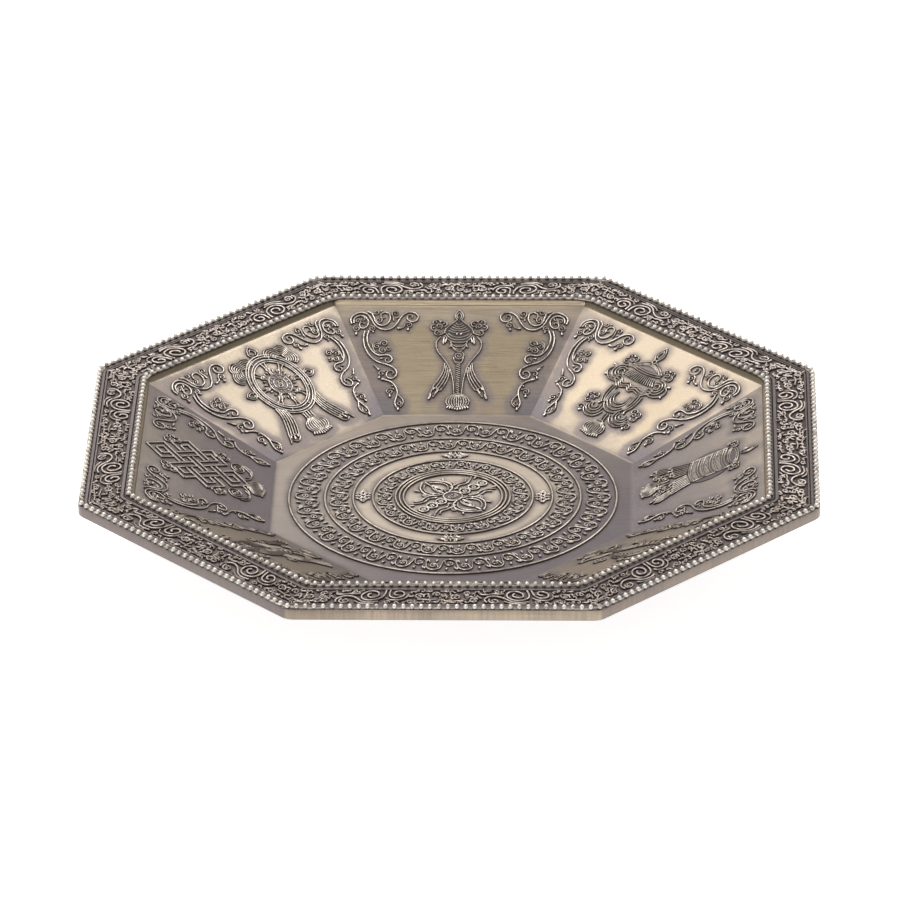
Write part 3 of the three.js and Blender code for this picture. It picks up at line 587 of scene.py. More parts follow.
def corner_spray():
    """The scrolls of a wall's upper left corner: double stems along the lip and down beside the crease."""
    return [
        # The long stem along the lip, wound up at both ends
        *line((-36.5, 15.2), (-36.9, 17.2), (-35.7, 19.2), (-33.4, 20.2), (-31.5, 19.6), (-30.1, 17.6),
              (-28.9, 15.2), (-27.1, 13.4), (-24.9, 12.8), (-22.8, 13.5), (-21.1, 15.6), (-19.8, 18.2),
              (-18.2, 20.0), (-16.1, 20.4), (-14.4, 19.4), (-14.1, 17.6), (-15.3, 16.4), (-17.0, 16.7),
              (-17.7, 18.1), (-16.9, 19.3), (-15.9, 18.7), (-16.2, 17.9), width=STEM, end=RIDGE),
        *line((-35.8, 15.6), (-35.7, 17.4), (-34.4, 18.7), (-32.5, 18.6), (-31.2, 17.2), (-30.9, 15.4),
              (-31.6, 13.9), (-32.9, 13.4), (-33.8, 14.3), (-33.6, 15.6), (-32.6, 15.9), (-32.2, 15.2),
              width=STEM, end=RIDGE),
        *curl(-34.5, 16.6, 1.1, -60, 1.3), *curl(-32.9, 17.4, 0.8, 40, 1.0, -1),
        *curl(-34.7, 13.3, 1.35, 110, 1.4), *drop(-34.9, 12.0, -92, 1.6, 0.9),
        *curl(-29.7, 13.3, 1.25, 100, 1.4, -1), *drop(-29.4, 12.3, -60, 0.9, 0.7),
        # The scrolls that fill the dip of the stem
        *line((-31.2, 20.6), (-29.9, 19.9), (-29.1, 18.2), (-28.4, 16.2), (-26.9, 14.8), (-25.1, 14.9),
              (-23.8, 16.4), (-23.5, 18.4), (-24.3, 20.0), (-25.8, 20.2), (-26.7, 19.0), (-26.2, 17.9),
              (-25.2, 18.1), width=STEM, end=RIDGE),
        *curl(-27.4, 17.0, 1.3, 60, 1.4, -1), *curl(-28.2, 20.4, 1.05, -140, 1.1),
        *drop(-26.8, 20.4, 60, 0.9, 0.7),
        *tendril([(-22.3, 16.6), (-22.4, 18.0), (-22.9, 19.4)], 1.25, 1.3, -1),
        *drop(-21.6, 17.6, 40, 1.0, 0.6),
        *line((-17.4, 16.2), (-18.3, 15.3), (-18.8, 14.1), (-19.6, 13.5)),
        *drop(-19.4, 13.5, 185, 1.7, 0.9),
        *curl(-17.1, 14.8, 1.2, 130, 1.4, -1), *drop(-17.3, 13.7, -95, 1.3, 0.9),
        # The double stem beside the crease
        *line((-30.5, 12.4), (-31.1, 10.2), (-31.0, 7.6), (-30.1, 4.9), (-28.6, 2.8), (-26.8, 1.7),
              (-25.2, 1.9), (-23.7, 1.8), (-22.6, 0.6), (-22.8, -0.8), (-24.0, -1.3), (-24.8, -0.4),
              (-24.2, 0.5), width=STEM, end=RIDGE),
        *line((-31.9, 12.2), (-32.4, 9.4), (-32.1, 6.4), (-31.1, 3.4), (-29.4, 0.7), (-27.0, -1.2),
              (-24.5, -2.1), (-22.3, -3.3), (-20.9, -5.2), (-21.1, -7.2), (-22.6, -8.2), (-24.0, -7.4),
              (-24.1, -5.8), (-22.9, -4.9), (-21.9, -5.7), (-22.3, -6.5), width=STEM, end=RIDGE),
        *curl(-25.3, 6.9, 1.4, 200, 1.5, -1), *curl(-27.7, 5.7, 1.3, 30, 1.4),
        *curl(-25.7, 3.9, 1.35, 120, 1.4),
        *curl(-23.9, 4.7, 0.95, -30, 1.1, -1),
        *line((-28.2, 3.0), (-29.0, 4.8), (-29.0, 6.8), (-28.0, 7.6)), *drop(-25.4, 0.6, 200, 1.2, 0.7),
        *line((-28.6, -2.3), (-27.6, -3.6)), *drop(-27.8, -3.4, -48, 1.7, 0.8),
        *curl(-25.9, -6.1, 1.2, 30, 1.3), *drop(-26.5, -6.9, -100, 1.5, 0.8),
        *line((-25.3, -5.1), (-24.3, -5.0)),
        # The tail below it
        *drop(-24.2, -8.9, 165, 1.9, 0.9),
        *line((-24.6, -8.8), (-22.5, -9.8), (-21.1, -11.8), (-20.4, -14.4), (-20.8, -16.8), (-21.1, -18.8),
              (-20.7, -20.2), (-20.0, -21.2), width=STEM, end=RIDGE),
        *line((-20.3, -14.8), (-19.3, -16.2), (-18.4, -17.6), (-18.5, -19.2), (-19.3, -20.4)),
        *drop(-20.0, -20.4, -90, 1.5, 0.9), *curl(-19.8, -18.9, 0.95, 90, 1.2, -1),
        *curl(-22.9, -13.8, 1.4, 60, 1.5), *drop(-22.9, -14.9, -90, 1.4, 0.9),
        *drop(-21.7, -11.2, 200, 0.8, 0.6), *drop(-21.3, -12.6, 200, 0.8, 0.6),
    ]


def hooks(length, low, high, clear):
    """Small hooked curls that fill a strip of this length except where the larger scrolls lie."""
    ridges = []
    count, rows = round(length / 1.9), 5
    for row in range(rows):
        for n in range(count):
            k = row * 37 + n
            x = (n + 0.5 * (row % 2) + 0.3) * length / count + 0.2 * math.sin(12.9 * k)
            y = low + (row + 0.5) * (high - low) / rows + 0.18 * math.sin(7.7 * k)
            if any(math.hypot((x - cx) / across, (y - cy) / tall) < 1 for cx, cy, across, tall in clear):
                continue
            c, s = unit((25, -70, 160, 80, -150, 0, -110)[k % 7])
            stem = [(x - 1.5 * c + 0.4 * s, y - 1.3 * s - 0.4 * c), (x - 0.7 * c, y - 0.6 * s), (x, y)]
            ridges += tendril(stem, 0.6, 1.0, 1 if k % 3 else -1, FRIEZE_FINE)
    return ridges


def frieze_period():
    """One repeat of the rim's scroll frieze, x along the rim and y outwards from the field's inner edge."""
    period = [
        # The roundel, the arch over it and the wave that runs on from it
        *line((19.0, 3.7), (19.0, 6.4), (19.9, 8.9), (22.4, 10.3), (25.0, 9.8), (26.2, 7.6), (25.5, 5.4),
              (23.5, 4.3), (21.6, 5.0), (20.9, 6.8), (21.9, 8.4), (23.7, 8.2), (24.3, 6.8), (23.5, 5.9),
              width=FRIEZE_STEM),
        *line((20.2, 11.3), (22.7, 11.8), (25.2, 11.2), (27.0, 9.4), (28.8, 8.0), (30.9, 7.6), (32.7, 8.5),
              (33.6, 10.2), (33.0, 11.8), width=FRIEZE_STEM),
        *curl(30.7, 10.7, 1.75, -40, 1.6, 1, FRIEZE_STEM),
        *line((17.6, 3.8), (17.5, 6.4), (17.0, 8.0), (15.6, 8.8), (13.8, 8.3), (12.8, 6.7), (13.3, 5.0),
              (14.8, 4.4), (16.0, 5.4), (15.6, 6.8), (14.6, 6.9), width=FRIEZE_STEM),
        *line((11.4, 6.4), (11.9, 8.4), (13.4, 9.9), (15.6, 10.3), (17.6, 9.7), (18.4, 8.7),
              width=FRIEZE_RIDGE),
        *line((21.2, 12.6), (23.6, 12.7), (26.0, 12.1), (27.6, 10.9), width=FRIEZE_RIDGE),
        *line((27.0, 5.9), (28.6, 6.2), (30.6, 6.0), (32.2, 6.6), (34.2, 6.5), width=FRIEZE_RIDGE),
        # Curls of middle size on both sides of them
        *curl(8.0, 7.6, 1.7, 150, 1.6, 1, FRIEZE_STEM), *curl(10.3, 11.1, 1.35, 200, 1.4, -1, FRIEZE_RIDGE),
        *curl(36.9, 10.4, 1.6, 210, 1.5, 1, FRIEZE_STEM), *curl(2.4, 6.2, 1.45, 40, 1.4, -1, FRIEZE_RIDGE),
        *curl(42.4, 8.2, 1.7, 60, 1.6, -1, FRIEZE_STEM), *curl(38.6, 5.6, 1.4, 100, 1.4, -1, FRIEZE_RIDGE),
        *curl(29.2, 4.4, 1.1, 60, 1.2, 1, FRIEZE_RIDGE), *curl(17.6, 11.7, 1.1, 160, 1.2, 1, FRIEZE_RIDGE),
        *line((2.6, 9.6), (4.6, 10.0), (6.6, 9.8), (8.4, 9.6), width=FRIEZE_RIDGE),
        *line((40.4, 11.0), (42.4, 10.7), (44.4, 11.0), (46.2, 10.6), width=FRIEZE_RIDGE),
    ]
    clear = [(22.6, 7.4, 4.9, 6.2), (14.9, 6.8, 4.2, 4.3), (30.6, 9.7, 4.0, 3.2), (8.0, 7.6, 2.4, 2.4),
             (10.3, 11.1, 2.0, 2.0), (36.9, 10.4, 2.3, 2.3), (2.4, 6.2, 2.1, 2.1), (42.4, 8.2, 2.4, 2.4),
             (38.6, 5.6, 2.1, 2.1), (29.2, 4.4, 1.7, 1.6), (17.6, 11.7, 1.7, 1.7), (5.4, 9.9, 2.8, 0.9),
             (43.4, 10.9, 2.8, 0.9), (30.6, 6.2, 3.4, 0.9)]
    period += hooks(2 * FRIEZE_MIDDLE, 3.5, 12.6, clear)
    return shifted(period, -FRIEZE_MIDDLE, FIELD_INNER - RIM_WIDTH)


def mitred(ridges, middle_apothem):
    """Widens a straight strip outwards, so that it fills its side of the rim from mitre to mitre."""
    return changed(ridges, lambda x, y: (x * (APOTHEM - FIELD_INNER + y) / middle_apothem, y))


def vine_cell(pitch, band):
    """One bend of a running vine: the stem, a curl in the bend and small leaves beside it."""
    half = band / 2
    size = min(pitch * 0.27, half * 0.48)
    ridges = swag((0, half), (pitch * 0.36, half * 0.7), (pitch / 2, 0))
    ridges += tendril([(-pitch * 0.3, half * 0.6), (-pitch * 0.25, half * 0.15)], size, 1.5, 1)
    ridges += drop(pitch * 0.5, half * 0.42, 90, half * 0.5, 0.8)
    ridges += drop(pitch * 0.3, -half * 0.35, -70, half * 0.5, 0.8)
    ridges += drop(-pitch * 0.12, -half * 0.5, -100, half * 0.45, 0.8)
    return ridges


def vine(cells, pitch, band):
    """A running vine of cells that hang from one side and from the other in turn."""
    ridges = []
    for k in range(cells):
        cell = vine_cell(pitch, band)
        if k % 2:
            cell = changed(cell, lambda x, y: (-x, -y))
        ridges += shifted(cell, k * pitch, 0)
    return ridges


def floor_leaf():
    """A small spray between two floor rings."""
    half = leaf(0.6, 0, 0, 3.6, 2.0) + curl(1.4, 1.7, 0.8, -90, 1.4, 1) + curl(1.4, -1.7, 0.8, 90, 1.4, -1)
    return both(half) + arc(0, 0, 0.8, 0, 360) + line((0, 0.9), (0, 2.4)) + line((0, -0.9), (0, -2.4))


def crossed_bolts():
    """Two crossed thunderbolts on the diagonals, one with open prongs and one with beads."""
    ridges = arc(0, 0, 3.1, 0, 360, STEM)
    ridges += curl(0.7, 0.5, 1.2, 180, 1.1, -1) + curl(-0.7, -0.5, 1.2, 0, 1.1, -1)
    side = [
        *line((3.2, 1.2), (4.6, 4.2), (8.0, 5.4), (11.6, 3.8), (14.2, 0.5), width=STEM),
        *line((4.4, 1.8), (6.0, 3.5), (8.4, 4.1), (10.8, 2.9), (12.4, 1.0)),
        *tendril([(5.2, 5.2), (6.4, 6.6)], 0.9, 1.4, -1),
        *drop(10.2, 5.4, 30, 1.8, 0.8),
        *drop(3.4, 4.0, 110, 1.4, 0.8),
    ]
    sprig = [
        *line((4.4, 2.8), (6.6, 4.2), (9.6, 3.6), (12.2, 4.6), (14.0, 5.8)),
        *drop(4.2, 4.2, 100, 1.5, 0.7),
        *line((5.6, 5.4), (8.0, 5.4), (10.2, 5.0), (11.8, 6.2)),
        *drop(13.6, 4.2, 20, 1.8, 0.8),
    ]
    side += changed(side, lambda x, y: (x, -y))
    sprig += changed(sprig, lambda x, y: (x, -y))
    prongs = leaf(4.0, 0, 0, 6.4, 2.6) + drop(10.6, 0, 0, 3.0, 0.9) + side
    beads = []
    for at, size in ((5.4, 1.75), (9.5, 1.8), (13.3, 1.6)):
        beads += arc(at, 0, size, 0, 360, STEM) + arc(at, 0, 0.6, 0, 360)
    for angle, arm in ((135, prongs), (315, prongs), (45, beads + sprig), (225, beads + sprig)):
        ridges += turned(arm, angle)
    return ridges


# Making meshes from drawings and primitives

def alone(obj):
    """Leaves only this object selected and active."""
    bpy.ops.object.select_all(action="DESELECT")
    obj.select_set(True)
    bpy.context.view_layer.objects.active = obj
    return obj


def joined(name, objects):
    bpy.ops.object.select_all(action="DESELECT")
    for obj in objects:
        obj.select_set(True)
    bpy.context.view_layer.objects.active = objects[0]
    if len(objects) > 1:
        bpy.ops.object.join()
    objects[0].name = name
    return objects[0]


def linked(name, data):
    """A new object of this data, in the scene."""
    obj = bpy.data.objects.new(name, data)
    bpy.context.scene.collection.objects.link(obj)
    return obj


def paint(mesh, name, values):
    """Notes a value on each corner, which the finishes read by its name."""
    layer = mesh.attributes.get(name) or mesh.attributes.new(name, "FLOAT", "POINT")
    layer.data.foreach_set("value", np.asarray(values, dtype=np.float32))


def corners_of(mesh):
    coords = np.empty(len(mesh.vertices) * 3, dtype=np.float32)
    mesh.vertices.foreach_get("co", coords)
    return coords.reshape(-1, 3)


def place_corners(mesh, coords):
    mesh.vertices.foreach_set("co", np.asarray(coords, dtype=np.float32).ravel())
    mesh.update()


def new_curve(name, **settings):
    curve = bpy.data.curves.new(name, "CURVE")
    for key, value in settings.items():
        setattr(curve, key, value)
    return curve


def add_spline(curve, points, widths, closed, resolution):
    """A smooth spline through the points, as wide at each as its width says."""
    spline = curve.splines.new("BEZIER")
    spline.bezier_points.add(len(points) - 1)
    spline.use_cyclic_u = closed
    spline.resolution_u = resolution
    for knot_point, (x, y), width in zip(spline.bezier_points, points, widths):
        knot_point.co = (x, y, 0)
        knot_point.radius = width
        knot_point.handle_left_type = knot_point.handle_right_type = "AUTO"


def as_mesh(name, curve):
    alone(linked(name, curve))
    bpy.ops.object.convert(target="MESH")
    return bpy.context.object


def ridged_mesh(name, ridges, pads=(), rise=RIDGE_RISE):
    """A flat drawing as a mesh: rounded ridges, and low pads with a soft edge under them."""
    curve = new_curve(name, dimensions="3D", twist_mode="Z_UP", bevel_depth=0.5, bevel_resolution=2,
                      use_fill_caps=True)
    for points, widths, closed in ridges:
        span = max(math.dist(a, b) for a, b in zip(points, points[1:]))
        add_spline(curve, points, widths, closed, min(8, max(2, round(span / 0.5))))
    obj = as_mesh(name, curve)
    coords = corners_of(obj.data)
    normals = np.empty(len(coords) * 3, dtype=np.float32)
    obj.data.vertex_normals.foreach_get("vector", normals)
    lift = coords[:, 2] / (RIDGE / 2)
    coords[:, 2] = rise * np.sign(lift) * np.minimum(np.abs(lift) ** 0.6, 1.15)
    place_corners(obj.data, coords)
    # How far each corner faces up: the finishes paint a highlight on up-facing tops and shade on the sides
    # from it
    paint(obj.data, "rise", np.clip(normals.reshape(-1, 3)[:, 2], 0, 1))
    if not pads:
        return joined(name, [obj])
    flat = new_curve(name + "_pads", dimensions="2D", fill_mode="BOTH", extrude=PAD_RISE / 2,
                     bevel_depth=PAD_RISE / 2, bevel_resolution=1)
    for points in pads:
        add_spline(flat, points, [1.0] * len(points), True, 4)
    ground = as_mesh(name + "_pads", flat)
    paint(ground.data, "rise", np.full(len(ground.data.vertices), 0.3))
    return joined(name, [obj, ground])


# The tops of the relief, round which the pan is shaded
relief_tops = []


def finish_piece(obj, nodes, material, matrix=Matrix(), smooth=60, note_tops=True, tarnish_and_side_shade=0.0):
    """Puts a piece made in millimetres in its place and hides the imported parts that it replaces."""
    obj.data.transform(Matrix.Diagonal((MM, MM, MM, 1)) @ matrix)
    obj.data.update()
    alone(obj)
    bpy.ops.object.shade_smooth_by_angle(angle=math.radians(smooth))
    if "rise" in obj.data.attributes:
        # The piece's tarnish together with painted shade for its side
        paint(obj.data, "tarnish_and_side_shade", np.full(len(obj.data.vertices), tarnish_and_side_shade))
        rise = np.empty(len(obj.data.vertices), dtype=np.float32)
        obj.data.attributes["rise"].data.foreach_get("value", rise)
        if note_tops:
            relief_tops.append(corners_of(obj.data)[rise > 0.95])
    obj.data.materials.clear()
    obj.data.materials.append(material)
    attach(obj, "root")
    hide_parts(*nodes)


def facing(side):
    """Turns the outward +Y of a drawing towards a side."""
    return Matrix.Rotation(side * TURN - math.pi / 2, 4, "Z")


def on_wall(side):
    """Lays a drawing on the middle of a wall, with its +Y up the slope."""
    middle = Matrix.Translation((0, WALL_MIDDLE, WALL_MIDDLE_LEVEL))
    return facing(side) @ middle @ Matrix.Rotation(WALL_SLOPE, 4, "X")


def round_floor(obj, radius, length):
    """Bends a straight drawing of this length into a full ring about the dish's axis."""
    coords = corners_of(obj.data)
    angle = -coords[:, 0] / length * 2 * math.pi
    reach = radius + coords[:, 1]
    bent = np.stack([reach * np.cos(angle), reach * np.sin(angle), coords[:, 2]], axis=1)
    place_corners(obj.data, bent)


def copied(obj, name):
    return linked(name, obj.data.copy())


def rounded_octagon(apothem, radius):
    """A wire octagon with round corners, left in edit mode with all of it selected."""
    bpy.ops.object.select_all(action="DESELECT")
    bpy.ops.mesh.primitive_circle_add(vertices=SIDES, radius=apothem / math.cos(HALF_TURN),
                                      rotation=(0, 0, HALF_TURN))
    bpy.ops.object.transform_apply(location=False, rotation=True, scale=False)
    wire = bpy.context.object
    bpy.ops.object.mode_set(mode="EDIT")
    bpy.ops.mesh.select_all(action="SELECT")
    bpy.ops.mesh.bevel(offset=radius * math.tan(HALF_TURN), segments=CORNER_CUTS, affect="VERTICES")
    mesh = bmesh.from_edit_mesh(wire.data)
    for edge in mesh.edges:
        edge.select_set(edge.calc_length() > radius * 2)
    bmesh.update_edit_mesh(wire.data)
    bpy.ops.mesh.subdivide(number_cuts=SIDE_CUTS)
    bpy.ops.mesh.select_all(action="SELECT")
    return wire


def draw_stations(apothem, stations):
    """Extrudes the selected loop from one station to the next; each is an apothem and a level."""
    level = 0.0
    for i, (reach, height) in enumerate(stations):
        if i:
            bpy.ops.mesh.extrude_region_move()
        bpy.ops.transform.translate(value=(0, 0, height - level))
        bpy.ops.transform.resize(value=(reach / apothem, reach / apothem, 1))
        apothem, level = reach, height


def select_edges(wire, test):
    """Selects the edges that pass a test on their inner and outer end's apothem and on their level."""
    bpy.ops.mesh.select_mode(type="EDGE")
    bpy.ops.mesh.select_all(action="DESELECT")
    mesh = bmesh.from_edit_mesh(wire.data)
    for edge in mesh.edges:
        inner, outer = sorted(apothem_of(v.co.x, v.co.y) for v in edge.verts)
        if test(inner, outer, (edge.verts[0].co.z + edge.verts[1].co.z) / 2):
            edge.select_set(True)
    bmesh.update_edit_mesh(wire.data)


def cut_spokes(wire, outer, inner, level, cuts):
    """Cuts the edges that run from one station's loop to the next one's."""

    def is_spoke(inner_end, outer_end, middle):
        return max(abs(inner_end - inner), abs(outer_end - outer)) < LOOP_SLACK and abs(middle - level) < 0.5

    select_edges(wire, is_spoke)
    bpy.ops.mesh.subdivide(number_cuts=cuts)


def apothem_of(x, y):
    return max(abs(x), abs(y), (abs(x) + abs(y)) / math.sqrt(2))


def dish_pan():
    """The pan: rim with its sunk frieze field, skirt, lip, walls, floor and underside as one closed shell."""
    under_rim = RIM_TOP - METAL
    skirt_foot = RIM_TOP - SKIRT_HEIGHT
    wall_foot = FLOOR_APOTHEM + METAL * math.tan(WALL_SLOPE / 2)
    wall_head = wall_foot + under_rim * (LIP_APOTHEM - FLOOR_APOTHEM) / (LIP_LEVEL - FLOOR_LEVEL)
    outer = rounded_octagon(APOTHEM - EDGE_BREAK, CORNER_RADIUS - EDGE_BREAK)
    draw_stations(APOTHEM - EDGE_BREAK, [
        (APOTHEM - EDGE_BREAK, RIM_TOP),
        (APOTHEM - 0.15, RIM_TOP - 0.15),
        (APOTHEM, RIM_TOP - EDGE_BREAK),
        (APOTHEM, skirt_foot + EDGE_BREAK),
        (APOTHEM - EDGE_BREAK, skirt_foot),
        (APOTHEM - SKIRT_WALL, skirt_foot),
        (APOTHEM - SKIRT_WALL, under_rim),
        (min(wall_head, LIP_APOTHEM + METAL / math.cos(WALL_SLOPE)), under_rim),
        (wall_foot, 0.0),
        (wall_foot * 0.5, 0.0),
        (0.5, 0.0),
    ])
    bpy.ops.mesh.edge_face_add()
    bpy.ops.object.mode_set(mode="OBJECT")

    # The inside, from the rim's inner edge down the lip and the wall to the middle of the floor
    lip_foot = LIP_APOTHEM - 0.3
    wall_end = FLOOR_APOTHEM + FLOOR_EASE * math.cos(WALL_SLOPE)
    floor_end = FLOOR_APOTHEM - FLOOR_EASE * 0.9
    inner = rounded_octagon(RIM_INNER, INNER_CORNER_RADIUS)
    draw_stations(RIM_INNER, [
        (RIM_INNER, RIM_TOP),
        (RIM_INNER - 0.2, RIM_TOP - 0.2),
        (LIP_APOTHEM + 0.15, LIP_LEVEL + 0.3),
        (lip_foot, LIP_LEVEL - 0.12),
        (wall_end, FLOOR_LEVEL + FLOOR_EASE * math.sin(WALL_SLOPE)),
        (floor_end, FLOOR_LEVEL),
        (FLOOR_LOOP, FLOOR_LEVEL),
        (FLOOR_HUB, FLOOR_LEVEL),
    ])
    bpy.ops.mesh.edge_face_add()
    cut_spokes(inner, lip_foot, wall_end, WALL_MIDDLE_LEVEL, 42)
    cut_spokes(inner, floor_end, FLOOR_LOOP, FLOOR_LEVEL, 30)
    cut_spokes(inner, FLOOR_LOOP, FLOOR_HUB, FLOOR_LEVEL, 28)
    bpy.ops.object.mode_set(mode="OBJECT")

    # The rim's top, drawn inwards from the outer edge
    rim = rounded_octagon(APOTHEM - EDGE_BREAK, CORNER_RADIUS - EDGE_BREAK)
    draw_stations(APOTHEM - EDGE_BREAK, [(APOTHEM - inset, RIM_TOP + level) for inset, level in RIM_PROFILE])
    bpy.ops.object.mode_set(mode="OBJECT")

    pan = joined("dish_pan_shell", [inner, outer, rim])
    bpy.ops.object.mode_set(mode="EDIT")
    rim_end = APOTHEM - RIM_PROFILE[-1][0] + LOOP_SLACK

    def beside_gap(inner_end, outer_end, middle):
        return abs(middle - RIM_TOP) < 0.01 and RIM_INNER - 0.5 < inner_end and outer_end < rim_end

    select_edges(pan, beside_gap)
    bpy.ops.mesh.bridge_edge_loops()
    bpy.ops.mesh.select_all(action="SELECT")
    bpy.ops.mesh.remove_doubles(threshold=MERGE_DISTANCE)
    bpy.ops.mesh.select_all(action="SELECT")
    bpy.ops.mesh.normals_make_consistent(inside=False)
    bpy.ops.object.mode_set(mode="OBJECT")
    return pan


def shade_pan(pan):
    """Notes on each corner how near the relief and the creases are, how grey it is from tarnish and painted
    shade by side, and how olive it is.
    """
    tops = np.concatenate(relief_tops)[::2]
    tree = kdtree.KDTree(len(tops))
    for i, spot in enumerate(tops):
        tree.insert(spot, i)
    tree.balance()
    coords = corners_of(pan.data)
    halo = np.zeros(len(coords), dtype=np.float32)
    for i in np.nonzero(coords[:, 2] > FLOOR_LEVEL * 0.9 * MM)[0]:
        halo[i] = max(0.0, 1.0 - tree.find(coords[i])[2] / (HALO_REACH * MM))
    paint(pan.data, "halo", halo)

    # How far out a corner lies towards the four pairs of sides; the two largest are alike at a crease
    x, y = np.abs(coords[:, 0]), np.abs(coords[:, 1])
    ways = np.sort(np.stack([x, y, (x + y) / math.sqrt(2), np.abs(x - y) / math.sqrt(2)]), axis=0)
    paint(pan.data, "crease", (ways[3] - ways[2]) / (2 * math.sin(HALF_TURN)) / MM)
    apothem = ways[3] / MM
    bearing = np.arctan2(coords[:, 1], coords[:, 0])
    side = np.round(bearing / TURN).astype(int) % SIDES

    height = np.clip((coords[:, 2] / MM - FLOOR_LEVEL) / (LIP_LEVEL - FLOOR_LEVEL), 0, 1)
    outwards = np.clip((np.hypot(coords[:, 0], coords[:, 1]) / MM - 32) / 14, 0, 1)
    turned_away = 0.5 + 0.5 * np.cos(bearing - FLOOR_SHADE_FACING)
    palest, darkest = FLOOR_SHADE_AND_TARNISH
    on_floor = apothem < FLOOR_APOTHEM + 0.3
    # Tarnish with painted shade by side: walls darker on some sides and towards their foot, the floor darker
    # outwards and towards one bearing, lip and skirt by side
    tarnish_and_side_shade = np.array(WALL_SHADE_AND_TARNISH)[side] * (1.4 - 0.7 * height)
    for there, values in ((on_floor, outwards * (palest + (darkest - palest) * turned_away)),
                          (apothem > LIP_APOTHEM, np.array(LIP_SIDE_SHADE)[side]),
                          (apothem > RIM_INNER + 2, np.array(SKIRT_SIDE_SHADE)[side])):
        tarnish_and_side_shade = np.where(there, values, tarnish_and_side_shade)
    paint(pan.data, "tarnish_and_side_shade", np.clip(tarnish_and_side_shade, 0, 1))
    paint(pan.data, "olive", np.where(on_floor, 0.25, np.array(WALL_OLIVE)[side]))


def octagon_route(apothem, radius, count):
    """Evenly spaced places along a round-cornered octagon, each with its heading."""
    straight = 2 * (apothem - radius) * math.tan(HALF_TURN)
    corner = radius * TURN
    places = []
    for i in range(count):
        along = (i + 0.5) / count * SIDES
        side, share = int(along), (along % 1) * (straight + corner)
        if share < straight:
            x, y, heading = apothem, share - straight / 2, math.pi / 2
        else:
            swing = (share - straight) / radius
            x = apothem - radius + radius * math.cos(swing)
            y = straight / 2 + radius * math.sin(swing)
            heading = math.pi / 2 + swing
        c, s = math.cos(side * TURN), math.sin(side * TURN)
        places.append((x * c - y * s, x * s + y * c, heading + side * TURN))
    return places


def shaped(width, depth, height, lift=0.0):
    """The newly added primitive, stretched and then lifted in edit mode."""
    bpy.ops.object.mode_set(mode="EDIT")
    bpy.ops.mesh.select_all(action="SELECT")
    bpy.ops.transform.resize(value=(width, depth, height))
    bpy.ops.transform.translate(value=(0, 0, lift))
    bpy.ops.object.mode_set(mode="OBJECT")
    return bpy.context.object


def bead_row(name, apothem, radius, count, size):
    """One bead, modelled once and copied along the rim on a thin wire."""
    bpy.ops.object.select_all(action="DESELECT")
    bpy.ops.mesh.primitive_uv_sphere_add(segments=10, ring_count=6, radius=1.0)
    bead = shaped(size[0] / 2, size[1] / 2, BEAD_HEIGHT * 0.66, BEAD_HEIGHT * 0.34)
    shape = corners_of(bead.data)
    faces = sorted(tuple(face.vertices) for face in bead.data.polygons)
    corners, all_faces = [], []
    for x, y, heading in octagon_route(apothem, radius, count):
        c, s = math.cos(heading), math.sin(heading)
        first = len(corners) * len(shape)
        bead_x = x + shape[:, 0] * c - shape[:, 1] * s
        bead_y = y + shape[:, 0] * s + shape[:, 1] * c
        corners.append(np.stack([bead_x, bead_y, RIM_TOP + shape[:, 2]], axis=1))
        all_faces += [tuple(first + v for v in face) for face in faces]
    bpy.data.objects.remove(bead)
    mesh = bpy.data.meshes.new(name)
    mesh.from_pydata(np.concatenate(corners).tolist(), [], all_faces)
    # Height share, from which the finish paints a highlight on the bead tops
    paint(mesh, "rise", np.clip((corners_of(mesh)[:, 2] - RIM_TOP) / BEAD_HEIGHT, 0, 1))
    beads = linked(name, mesh)
    wire_points = [(x, y) for x, y, _ in octagon_route(apothem, radius, SIDES * 12)]
    wire = ridged_mesh(name + "_wire", line(*wire_points, width=1.0, closed=True), rise=0.2)
    wire.data.transform(Matrix.Translation((0, 0, RIM_TOP)))
    paint(wire.data, "rise", np.full(len(wire.data.vertices), 0.15))
    return joined(name, [beads, wire])


def ring_piece(name, radii, width=RING_WIDTH, rise=RING_RISE):
    """Raised rings: a thin round bar for each radius, sunk half way into the floor."""
    rings = []
    for radius in radii:
        bpy.ops.object.select_all(action="DESELECT")
        bpy.ops.mesh.primitive_torus_add(major_radius=radius, minor_radius=width / 2, major_segments=144,
                                         minor_segments=10)
        ring = shaped(1, 1, rise / (width / 2))
        # Height share, from which the finish paints a rubbed, highlighted top and shaded sides
        paint(ring.data, "rise", np.clip(corners_of(ring.data)[:, 2] / rise, 0, 1))
        rings.append(ring)
    return joined(name, rings)


# Finishes

class Socket:
    """A shader value that can be used in Python arithmetic."""

    def __init__(self, finish, output):
        self.finish = finish
        self.output = output

    def _math(self, operation, *values):
        return self.finish.node("ShaderNodeMath", {"operation": operation}, dict(enumerate(values)))

    def __add__(self, other):
        return self._math("ADD", self, other)

    def __sub__(self, other):
        return self._math("SUBTRACT", self, other)

    def __rsub__(self, other):
        return self._math("SUBTRACT", other, self)

    def __mul__(self, other):
        return self._math("MULTIPLY", self, other)

    def __abs__(self):
        return self._math("ABSOLUTE", self)

    def maximum(self, other):
        return self._math("MAXIMUM", self, other)

    __radd__ = __add__
    __rmul__ = __mul__


